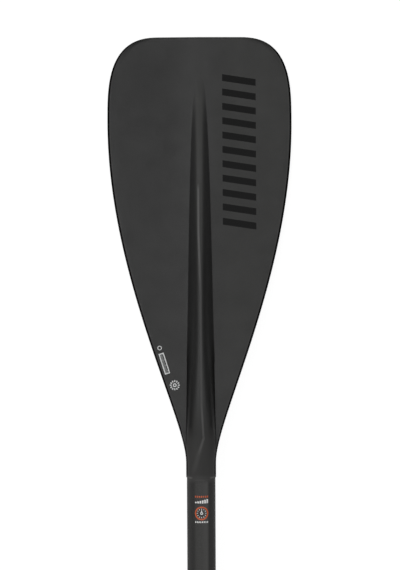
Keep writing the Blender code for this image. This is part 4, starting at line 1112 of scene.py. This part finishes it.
# Clamp collar. Moulded in one piece round the slit end of the middle tube: a split ring with two
# ears for the screw and an end lip that carries the key of the upper tube's groove.
COLLAR_RADIUS = 0.0174
COLLAR_BORE = SHAFT_RADIUS + FIT
COLLAR_LOW = MIDDLE_END - 0.0045
COLLAR_HIGH = MIDDLE_END + 0.030
COLLAR_LIP_TOP = MIDDLE_END - 0.0003
LIP_BORE = FERRULE_RADIUS + SLIP_GAP
COLLAR_ROUND = 0.0010
EAR_AT = MIDDLE_END + 0.013
EAR_HALF_LENGTH = 0.013
EAR_OUTER = 0.0050
EAR_TOP = 0.0270
EAR_ROUND = 0.0020
EAR_EDGE = 0.0004
EAR_RISE = 0.0030
EAR_FOOT = 0.0184
EAR_FILLET = 0.0016
EAR_FILLET_LIFT = 0.0012
KEY_HALF_WIDTH = 0.0017
KEY_REACH = 0.00055
SCREW_HEIGHT = LEVER_PIN_ON_SHAFT.z
SCREW_HOLE_RADIUS = 0.0023


def quarter(share):
    return math.sqrt(max(1.0 - (1.0 - min(max(share, 0.0), 1.0)) ** 2, 0.0))


def collar_outline(y):
    from_end = min(y - COLLAR_LOW, COLLAR_HIGH - y)
    radius = COLLAR_RADIUS - COLLAR_ROUND * (1.0 - quarter(from_end / COLLAR_ROUND))
    rise = quarter((EAR_HALF_LENGTH - abs(y - EAR_AT)) / EAR_RISE)
    ear = [(SLIT / 2, EAR_TOP - EAR_EDGE), (SLIT / 2 + EAR_EDGE, EAR_TOP)]
    for swing in swings(90.0, 6):
        across = EAR_OUTER - EAR_ROUND * (1.0 - math.sin(swing))
        ear.append((across, EAR_TOP - EAR_ROUND * (1.0 - math.cos(swing))))
    ear += [(EAR_OUTER, mix(EAR_TOP - EAR_ROUND, EAR_FOOT, k / 5)) for k in range(1, 6)]
    right = [(x, mix(math.sqrt(radius**2 - x * x), z, rise)) for x, z in ear]
    start = math.asin(EAR_OUTER / radius)
    fillet = EAR_FILLET * rise / radius
    for k in range(1, 6):
        share = k / 5
        lift = radius + EAR_FILLET_LIFT * rise * (1.0 - share) ** 2
        right.append((lift * math.sin(start + share * fillet), lift * math.cos(start + share * fillet)))
    for k in range(1, 40):
        swing = mix(start + fillet, math.pi, k / 40)
        right.append((radius * math.sin(swing), radius * math.cos(swing)))
    return right + [(0.0, -radius)] + [(-x, z) for x, z in reversed(right)]


def collar_bore(in_lip):
    radius = LIP_BORE if in_lip else COLLAR_BORE
    start = math.asin(SLIT / 2 / radius)
    turn = [mix(math.tau - start, start, k / 96) for k in range(97)]
    return [(radius * math.sin(a), radius * math.cos(a)) for a in turn]


bm = bmesh.new()
ear_low = EAR_AT - EAR_HALF_LENGTH
ear_high = EAR_AT + EAR_HALF_LENGTH
end_steps = [COLLAR_ROUND * (1.0 - math.cos(swing)) for swing in swings(90.0, 6)]
ear_steps = [EAR_RISE * (1.0 - math.cos(swing)) for swing in swings(90.0, 6)]
collar_y = [COLLAR_LOW + step for step in end_steps]
collar_y += [mix(COLLAR_LOW + COLLAR_ROUND, COLLAR_LIP_TOP, k / 2) for k in range(1, 3)]
collar_y += [COLLAR_LIP_TOP + 0.00001]
collar_y += [ear_low + step for step in ear_steps]
collar_y += [mix(ear_low + EAR_RISE, ear_high - EAR_RISE, k / 8) for k in range(1, 8)]
collar_y += [ear_high - step for step in reversed(ear_steps)]
collar_y += [COLLAR_HIGH - step for step in reversed(end_steps)]
loops = []
for y in sorted(set(collar_y)):
    loop = collar_outline(y) + collar_bore(y <= COLLAR_LIP_TOP)
    loops.append([bm.verts.new((x, y, z)) for x, z in loop])
for first, second in zip(loops, loops[1:]):
    for k in range(len(first)):
        j = (k + 1) % len(first)
        bm.faces.new((first[k], first[j], second[j], second[k]))
outer_count = len(collar_outline(COLLAR_LOW))
for loop in (loops[0], loops[-1]):
    outside = loop[:outer_count]
    inside = list(reversed(loop[outer_count:]))
    i = 0
    for k in range(len(outside) - 1):
        share = round((k + 1) * (len(inside) - 1) / (len(outside) - 1))
        while i < share:
            bm.faces.new((outside[k], inside[i + 1], inside[i]))
            i += 1
        bm.faces.new((outside[k], outside[k + 1], inside[i]))
bmesh.ops.remove_doubles(bm, verts=bm.verts, dist=0.000002)
bmesh.ops.dissolve_degenerate(bm, edges=bm.edges, dist=0.000001)


def through_ears(radius, x=0.0):
    return rod(radius, (x, EAR_AT, SCREW_HEIGHT), CUT_REACH, "x", 40)


collar_finish = plastic_finish("clamp_plastic", 0.40, 0.52)
key = block(
    (-KEY_HALF_WIDTH, COLLAR_LOW + 0.0003, -LIP_BORE - 0.0012),
    (KEY_HALF_WIDTH, COLLAR_LIP_TOP - 0.0003, KEY_REACH - FERRULE_RADIUS),
)
bm = shaped(bm, [("DIFFERENCE", through_ears(SCREW_HOLE_RADIUS)), ("UNION", key)])
finish_piece("clamp_ring", bm, collar_finish, "paddle", ("clamp_collar",), sharp=38.0)

# Clamp hardware. A stamped steel saddle under the cam, a turned barrel pin that the lever swings
# on, and a socket screw that runs through both ears and is threaded into the pin.
SADDLE_IN = EAR_OUTER + FIT
SADDLE_OUT = SADDLE_IN + 0.0010
SADDLE_HALF_LENGTH = 0.010
SADDLE_LOW = 0.0174
SADDLE_HIGH = 0.0260
PIN_X = LEVER_PIN_ON_SHAFT.x
PIN_RADIUS = 0.0040
PIN_LENGTH = 0.0210
SCREW_RADIUS = 0.0020
SCREW_HEAD_RADIUS = 0.0037
SCREW_HEAD_THICK = 0.0030
SCREW_HEAD_ROUND = 0.0006
THREAD_DEPTH = 0.0003
THREAD_STEP = 0.0007
HEX_RADIUS = 0.0019
HEX_DEPTH = 0.0020


def slab(outline, low, high, edge, place):
    bm = bmesh.new()
    near = [bm.verts.new(place(a, b, low)) for a, b in outline]
    far = [bm.verts.new(place(a, b, high)) for a, b in outline]
    caps = [bm.faces.new(near), bm.faces.new(list(reversed(far)))]
    for k in range(len(outline)):
        j = (k + 1) % len(outline)
        bm.faces.new((near[k], near[j], far[j], far[k]))
    rims = list({e for cap in caps for e in cap.edges})
    bmesh.ops.bevel(bm, geom=rims, offset=edge, segments=3, profile=0.5, affect="EDGES", clamp_overlap=True)
    bmesh.ops.remove_doubles(bm, verts=bm.verts, dist=0.000004)
    return bm


def rounded(half_long, half_wide, corner, steps=6):
    points = []
    for a, b, start in ((1, 1, 0), (-1, 1, 90), (-1, -1, 180), (1, -1, 270)):
        for k in range(steps + 1):
            swing = math.radians(start + 90.0 * k / steps)
            long_part = a * (half_long - corner) + corner * math.cos(swing)
            points.append((long_part, b * (half_wide - corner) + corner * math.sin(swing)))
    return points


saddle_middle = (SADDLE_LOW + SADDLE_HIGH) / 2
saddle_outline = rounded(SADDLE_HALF_LENGTH, (SADDLE_HIGH - SADDLE_LOW) / 2, 0.0016)
bm = slab(
    saddle_outline, SADDLE_IN, SADDLE_OUT, 0.0002,
    lambda along, up, out: (out, EAR_AT + along, saddle_middle + up),
)
bm = shaped(bm, [("DIFFERENCE", through_ears(SCREW_HOLE_RADIUS))])
brushed_steel = steel_finish("stainless_brushed", (1.0, 14.0, 1.0), 0.28, 0.40)
finish_piece("cam_plate", bm, brushed_steel, "paddle", ("cam_saddle",))

pin_profile = [(0.0, PIN_LENGTH / 2), (PIN_RADIUS - 0.0007, PIN_LENGTH / 2)]
pin_profile += [(PIN_RADIUS - 0.0002, PIN_LENGTH / 2 - 0.0002), (PIN_RADIUS, PIN_LENGTH / 2 - 0.0006)]
pin_profile += [(r, -y) for r, y in reversed(pin_profile)]
bm = bmesh.new()
turned(bm, pin_profile, 64, (PIN_X, EAR_AT, SCREW_HEIGHT), "y", False)
bm = shaped(bm, [("DIFFERENCE", through_ears(SCREW_RADIUS + 0.0001, PIN_X))])
finish_piece("barrel_pin", bm, steel, "paddle", ("lever_pin",))

screw_start = -EAR_OUTER - FIT
head_end = screw_start - SCREW_HEAD_THICK
screw_end = PIN_X + 0.0030
screw_profile = [(0.0, screw_end), (SCREW_RADIUS - 0.0005, screw_end)]
at = screw_end - 0.0003
while at > SADDLE_OUT:
    screw_profile += [(SCREW_RADIUS, at), (SCREW_RADIUS - THREAD_DEPTH, at - THREAD_STEP / 2)]
    at -= THREAD_STEP
screw_profile += [(SCREW_RADIUS, at), (SCREW_RADIUS, screw_start), (SCREW_HEAD_RADIUS - 0.0002, screw_start)]
screw_profile += [(SCREW_HEAD_RADIUS, screw_start - 0.0002), (SCREW_HEAD_RADIUS, head_end + SCREW_HEAD_ROUND)]
for swing in swings(90.0, 4)[1:]:
    edge_radius = SCREW_HEAD_RADIUS - SCREW_HEAD_ROUND * (1.0 - math.cos(swing))
    screw_profile.append((edge_radius, head_end + SCREW_HEAD_ROUND * (1.0 - math.sin(swing))))
screw_profile.append((0.0, head_end))
bm = bmesh.new()
turned(bm, screw_profile, 64, (0.0, EAR_AT, SCREW_HEIGHT), "x", False)
hex_socket = rod(HEX_RADIUS, (head_end, EAR_AT, SCREW_HEIGHT), HEX_DEPTH * 2, "x", 6)
bm = shaped(bm, [("DIFFERENCE", hex_socket)])
finish_piece("socket_screw", bm, steel, "paddle", ("clamp_screw",))

# Clamp lever. A moulded cam lever, forked round the screw; closed, its arm hugs the tube, and its
# tip stands off with a few raised grip lines.
CAM_RADIUS = 0.0051
CAM_THROW = 0.00075
LEVER_WIDTH = 0.022
ARM_INNER = 0.0184
ARM_OUTER = 0.0218
LEVER_BACK = 0.0262
LEVER_TIP = 0.0242
LEVER_TIP_ANGLE = -24.0
ARM_FOOT_ANGLE = 48.0
CAM_FROM_ANGLE = -118
CAM_TO_ANGLE = -378
FORK_RADIUS = 0.0072
FORK_SLOT = 0.0054
GRIP_LINES = 5
GRIP_LINE_RADIUS = 0.00055


def polar(radius, degrees, centre=(0.0, 0.0)):
    swing = math.radians(degrees)
    return (centre[0] + radius * math.cos(swing), centre[1] + radius * math.sin(swing))


cam_centre = (PIN_X - CAM_THROW, SCREW_HEIGHT)
lever_outline = [polar(ARM_INNER, mix(LEVER_TIP_ANGLE, ARM_FOOT_ANGLE, k / 24)) for k in range(25)]
lever_outline += [polar(CAM_RADIUS, a, cam_centre) for a in range(CAM_FROM_ANGLE, CAM_TO_ANGLE - 1, -10)]
for k in range(20):
    a = mix(ARM_FOOT_ANGLE - 4.0, -15.0, k / 19)
    lever_outline.append(polar(mix(ARM_OUTER, LEVER_BACK, ease(a, 15.0, ARM_FOOT_ANGLE)), a))
for swing in swings(90.0, 4):
    lip = mix(ARM_OUTER, LEVER_TIP, math.sin(swing))
    lever_outline.append(polar(lip, LEVER_TIP_ANGLE + 2.0 + 5.0 * math.cos(swing)))
for swing in swings(90.0, 3)[1:]:
    lip = LEVER_TIP - 0.0007 * (1.0 - math.cos(swing))
    lever_outline.append(polar(lip, LEVER_TIP_ANGLE + 2.0 - 5.5 * math.sin(swing)))
bm = slab(
    lever_outline, -LEVER_WIDTH / 2, LEVER_WIDTH / 2, 0.0009,
    lambda out, up, along: (out, EAR_AT + along, up),
)
cuts = [
    ("DIFFERENCE", rod(FORK_RADIUS, (PIN_X, EAR_AT, SCREW_HEIGHT), FORK_SLOT, "y", 72)),
    ("DIFFERENCE", rod(PIN_RADIUS + FIT, (PIN_X, EAR_AT, SCREW_HEIGHT), LEVER_WIDTH + 0.010, "y", 64)),
]
for k in range(GRIP_LINES):
    x, z = polar(ARM_OUTER - 0.0001, -13.0 + 4.0 * k)
    cuts.append(("UNION", rod(GRIP_LINE_RADIUS, (x, EAR_AT, z), 0.015, "y", 16)))
bm = shaped(bm, cuts)
finish_piece("cam_lever", bm, collar_finish, "lever", ("clamp_lever",), sharp=36.0)

# Upper tube. The slimmer tube of the handle end, wound and ground like the others, with a groove
# underneath that runs on the collar's key and keeps it from turning.
UPPER_EXPOSED = 0.120
UPPER_END = MIDDLE_END - UPPER_EXPOSED
UPPER_LENGTH = 0.640
UPPER_TOP = UPPER_END + UPPER_LENGTH
GROOVE_WIDTH = 0.0040
GROOVE_DEPTH = 0.0008
GROOVE_STOP = 0.042
BAR_AT = UPPER_END - 0.007
RIVET_AT = BAR_AT + 0.030
RIVET_RADIUS = 0.0020
groove = block(
    (-GROOVE_WIDTH / 2, UPPER_END + GROOVE_STOP, -CUT_REACH),
    (GROOVE_WIDTH / 2, UPPER_TOP + CUT_REACH, GROOVE_DEPTH - FERRULE_RADIUS),
)


def rivet_hole():
    return rod(RIVET_RADIUS + FIT, (0.0, RIVET_AT, 0.0), 2 * CUT_REACH, "x", 40)


bm = shaped(
    tube_solid(FERRULE_BORE, FERRULE_RADIUS, UPPER_END, UPPER_TOP),
    [("DIFFERENCE", groove), ("DIFFERENCE", rivet_hole())],
)
finish_piece("upper_tube", bm, tube_finish, "upper", ("upper_shaft",))
refinish("upper_guide_plug", moulded_finish)

# Length scale. White ink printed on top of the upper tube: a tick for every centimetre and a number
# for every ten, from 170 to 210, which reads upright when the handle is up.
SCALE_FIRST = 170
SCALE_LAST = 210
NUMBER_SIZE = 0.0060
SLICE_WIDTH = 0.0006


def on_upper(x, y, out):
    return on_round(FERRULE_RADIUS, x, y, out)


def number(bm, mark, middle):
    # the flat figures are sliced lengthwise, so that they can bend round the tube
    letters = bpy.data.curves.new("number", "FONT")
    letters.body = str(mark)
    letters.size = NUMBER_SIZE
    letters.align_x = "CENTER"
    letters.align_y = "CENTER"
    letters.extrude = INK_LIFT
    letters.resolution_u = 5
    holder = bpy.data.objects.new("number", letters)
    bpy.context.scene.collection.objects.link(holder)
    graph = bpy.context.evaluated_depsgraph_get()
    flat = bpy.data.meshes.new_from_object(holder.evaluated_get(graph))
    sliced = bmesh.new()
    sliced.from_mesh(flat)
    for k in range(-9, 10):
        every = list(sliced.verts) + list(sliced.edges) + list(sliced.faces)
        slice_at = (k * SLICE_WIDTH, 0.0, 0.0)
        bmesh.ops.bisect_plane(sliced, geom=every, plane_co=slice_at, plane_no=(1.0, 0.0, 0.0))
    sliced.to_mesh(flat)
    sliced.free()
    for vert in flat.vertices:
        vert.co = on_upper(-vert.co.x, middle - vert.co.y, vert.co.z)
    bm.from_mesh(flat)
    bpy.data.objects.remove(holder, do_unlink=True)
    bpy.data.meshes.remove(flat)


bm = bmesh.new()
for mark in range(SCALE_FIRST, SCALE_LAST + 1):
    y = COLLAR_LOW - 0.0005 + (mark - SCALE_FIRST) / 100
    reach = 0.0052 if mark % 10 == 0 else 0.0036 if mark % 5 == 0 else 0.0024
    round_bar(bm, on_upper, -reach, reach, y - 0.0002, y + 0.0002, 8)
    if mark % 10 == 0:
        number(bm, mark, y - 0.0040)
bmesh.ops.remove_doubles(bm, verts=bm.verts, dist=0.000001)
finish_piece("length_scale", bm, white_ink, "upper")

# Handle. Socket and T bar moulded in one black plastic piece, webbed and filleted at the root, flat
# at the palm side with a recess for the insert.
BAR_HALF_LENGTH = 0.0575
BAR_RADIUS = 0.0150
BAR_WAIST_RADIUS = 0.0138
BAR_END_FLAT = 0.0085
BAR_END_ROUND = 0.008
PALM_FLAT = 0.0115
SOCKET_MOUTH = 0.044
SOCKET_RADIUS = 0.0147
WEB_FOOT = 0.0290
WEB_REACH = 0.0250
WEB_THICK = 0.0130
WEB_HOLLOW = 0.0012
PAD_HALF_LENGTH = 0.036
PAD_HALF_WIDTH = 0.0070
PAD_RECESS = 0.0020
PAD_PROUD = 0.0010
PAD_GROOVES = 15
PAD_GROOVES_HALF = 0.028
PAD_GROOVE_RADIUS = 0.0006
PAD_GROOVE_OUT = 0.00015


def bar_radius(x):
    from_end = BAR_HALF_LENGTH - abs(x)
    belly = mix(BAR_WAIST_RADIUS, BAR_RADIUS, ease(abs(x), 0.012, 0.042))
    if from_end < BAR_END_ROUND:
        return mix(BAR_END_FLAT, belly, quarter(from_end / BAR_END_ROUND))
    return belly


end_x = [BAR_HALF_LENGTH - BAR_END_ROUND * (k / 10) ** 2 for k in range(11)]
bar_profile = [(0.0, BAR_HALF_LENGTH)] + [(bar_radius(x), x) for x in end_x]
bar_profile += [(bar_radius(x), x) for x in np.linspace(BAR_HALF_LENGTH - 0.010, 0.010 - BAR_HALF_LENGTH, 40)]
bar_profile += [(bar_radius(x), -x) for x in reversed(end_x)] + [(0.0, -BAR_HALF_LENGTH)]
handle_bar = bmesh.new()
turned(handle_bar, bar_profile, 72, (0.0, BAR_AT, 0.0), "x", False)
sleeve = rod(SOCKET_RADIUS, (0.0, BAR_AT + SOCKET_MOUTH / 2 + 0.001, 0.0), SOCKET_MOUTH - 0.002, "y", 72)
web_root = BAR_WAIST_RADIUS * 0.7
web_outline = [(-WEB_FOOT, 0.004), (-WEB_FOOT, web_root)]
for k in range(9):
    share = k / 8
    inward = mix(WEB_FOOT, SOCKET_RADIUS - 0.0008, share)
    up = mix(web_root, WEB_REACH, share)
    web_outline.append((-inward, up - WEB_HOLLOW * math.sin(math.pi * share)))
web_outline += [(-x, y) for x, y in reversed(web_outline)]
web = slab(web_outline, -WEB_THICK / 2, WEB_THICK / 2, 0.001, lambda x, y, z: (x, BAR_AT + y, z))
palm = block((-0.080, BAR_AT - CUT_REACH, -CUT_REACH), (0.080, BAR_AT - PALM_FLAT, CUT_REACH))
bm = shaped(handle_bar, [("UNION", sleeve), ("UNION", web), ("DIFFERENCE", palm), ("SOFTEN", 0.0006, 5)])
palm_recess = slab(
    rounded(PAD_HALF_LENGTH, PAD_HALF_WIDTH, PAD_HALF_WIDTH - 0.00001, 12), -PAD_RECESS, PAD_RECESS, 0.00005,
    lambda x, z, deep: (x, BAR_AT - PALM_FLAT + deep, z),
)
bore_middle = (0.0, UPPER_END - 0.0003 + CUT_REACH, 0.0)
socket_bore = rod(FERRULE_RADIUS + SLIP_GAP, bore_middle, 2 * CUT_REACH, "y", 96)
bm = shaped(bm, [("DIFFERENCE", socket_bore), ("DIFFERENCE", palm_recess), ("DIFFERENCE", rivet_hole())])
handle_finish = plastic_finish("handle_plastic", 0.48, 0.62)
finish_piece("tee_handle", bm, handle_finish, "upper", ("handle_body",))

# Palm insert. A soft black elastomer strip, pressed into the recess and standing a little proud,
# with shallow grooves across it.
bm = slab(
    rounded(PAD_HALF_LENGTH - FIT, PAD_HALF_WIDTH - FIT, PAD_HALF_WIDTH - FIT - 0.00001, 12),
    FIT - PAD_RECESS, PAD_PROUD, 0.0007, lambda x, z, out: (x, BAR_AT - PALM_FLAT - out, z),
)
grooves = []
for k in range(PAD_GROOVES):
    x = mix(-PAD_GROOVES_HALF, PAD_GROOVES_HALF, k / (PAD_GROOVES - 1))
    centre = (x, BAR_AT - PALM_FLAT - PAD_PROUD - PAD_GROOVE_OUT, 0.0)
    grooves.append(("DIFFERENCE", rod(PAD_GROOVE_RADIUS, centre, CUT_REACH, "z", 20)))
bm = shaped(bm, grooves)
finish_piece("palm_insert", bm, rubber_finish, "upper", ("handle_pad",))

# Cross rivet. A stainless rod through the socket and the tube, with a domed head on each side that
# keeps the handle on.
RIVET_HEAD_RADIUS = 0.0036
RIVET_HEAD_THICK = 0.0012
head_in = SOCKET_RADIUS + FIT
rivet_profile = [(0.0, head_in + RIVET_HEAD_THICK)]
for swing in swings(90.0, 8)[1:]:
    dome_fall = (RIVET_HEAD_THICK - 0.0003) * (1.0 - math.cos(swing))
    rivet_profile.append((RIVET_HEAD_RADIUS * math.sin(swing), head_in + RIVET_HEAD_THICK - dome_fall))
rivet_profile += [(RIVET_HEAD_RADIUS, head_in), (RIVET_RADIUS, head_in)]
rivet_profile += [(r, -x) for r, x in reversed(rivet_profile)]
bm = bmesh.new()
turned(bm, rivet_profile, 48, (0.0, RIVET_AT, 0.0), "x", False)
finish_piece("cross_rivet", bm, steel, "upper", ("handle_rivet",))

# Camera. It stands three metres over the blade and leans a little, nearly square on to the power
# face, and the picture is turned by a quarter of a degree.
CAMERA_REACH = 3.0
CAMERA_LEAN = math.radians(5.7)
AIM = Vector((-0.00025, 0.60115, 0.026))
PICTURE_ROLL = math.radians(0.27)
PICTURE_HEIGHT = 0.570
back_to_camera = Vector((0.0, math.sin(CAMERA_LEAN), math.cos(CAMERA_LEAN)))
camera = bpy.data.objects.new("camera", bpy.data.cameras.new("camera"))
bpy.context.scene.collection.objects.link(camera)
camera.location = AIM + back_to_camera * CAMERA_REACH
up_in_picture = Vector((math.sin(PICTURE_ROLL), math.cos(PICTURE_ROLL), 0.0))
across = up_in_picture.cross(back_to_camera).normalized()
up_in_picture = back_to_camera.cross(across)
camera.rotation_euler = Matrix((across, up_in_picture, back_to_camera)).transposed().to_euler()
camera.data.sensor_width = 36.0
camera.data.lens = camera.data.sensor_width * CAMERA_REACH / PICTURE_HEIGHT
camera.data.clip_end = 40.0
bpy.context.scene.camera = camera

# Room. A wide soft box overhead lights the power face, a bright narrow one at the upper left lights
# the spine's crown, and a dim one stands on the left. The walls are a dim grey that looks pale to the
# camera, and the floor glows white to it and in reflections, and keeps the paddle's shadow.
bpy.context.scene.view_settings.view_transform = "Standard"
FLOOR_HALF = 16.0
FLOOR_GREY = (0.30, 0.30, 0.30, 1.0)
FLOOR_GLOW = 0.86
ROOM_GREY = (0.15, 0.15, 0.152, 1.0)
WALL_PALE = (0.90, 0.90, 0.90, 1.0)
floor_mesh = bpy.data.meshes.new("floor")
corners = [(-FLOOR_HALF, -FLOOR_HALF, 0), (FLOOR_HALF, -FLOOR_HALF, 0)]
corners += [(FLOOR_HALF, FLOOR_HALF, 0), (-FLOOR_HALF, FLOOR_HALF, 0)]
floor_mesh.from_pydata(corners, [], [(0, 1, 2, 3)])
floor = bpy.data.objects.new("floor", floor_mesh)
bpy.context.scene.collection.objects.link(floor)
floor.location.z = -0.0005
floor_finish, tree, shader = new_finish("floor")
shader.inputs["Base Color"].default_value = FLOOR_GREY
shader.inputs["Roughness"].default_value = 0.9
shader.inputs["Emission Color"].default_value = (1.0, 1.0, 1.0, 1.0)
rays = tree.nodes.new("ShaderNodeLightPath").outputs
shown = maths(tree, "MAXIMUM", rays["Is Camera Ray"], rays["Is Glossy Ray"])
shown = maths(tree, "MAXIMUM", shown, rays["Is Transmission Ray"])
tree.links.new(spread(tree, shown, 0.0, FLOOR_GLOW), shader.inputs["Emission Strength"])
floor_mesh.materials.append(floor_finish)


def soft_box(name, place, aim_at, wide, high, glow):
    lamp = bpy.data.lights.new(name, "AREA")
    lamp.shape = "RECTANGLE"
    lamp.size = wide
    lamp.size_y = high
    lamp.energy = glow * math.pi * wide * high
    obj = bpy.data.objects.new(name, lamp)
    obj.location = place
    obj.rotation_euler = (Vector(place) - Vector(aim_at)).to_track_quat("Z", "Y").to_euler()
    obj.visible_camera = False
    bpy.context.scene.collection.objects.link(obj)


soft_box("overhead_box", (-0.25, 0.60, 2.4), (-0.25, 0.60, 0.0), 3.5, 3.0, 1.52)
soft_box("crown_strip", (-0.87, 0.97, 2.35), (0.0, 0.97, 0.0), 0.74, 0.22, 7.0)
soft_box("left_box", (-2.1, 0.75, 1.2), (0.0, 0.60, 0.0), 2.6, 1.1, 0.15)

world = bpy.data.worlds.new("room")
bpy.context.scene.world = world
world.use_nodes = True
tree = world.node_tree
room = tree.nodes["Background"]
room.inputs["Color"].default_value = ROOM_GREY
wall = tree.nodes.new("ShaderNodeBackground")
wall.inputs["Color"].default_value = WALL_PALE
seen = tree.nodes.new("ShaderNodeMixShader")
tree.links.new(tree.nodes.new("ShaderNodeLightPath").outputs["Is Camera Ray"], seen.inputs[0])
tree.links.new(room.outputs["Background"], seen.inputs[1])
tree.links.new(wall.outputs["Background"], seen.inputs[2])
tree.links.new(seen.outputs["Shader"], tree.nodes["World Output"].inputs["Surface"])
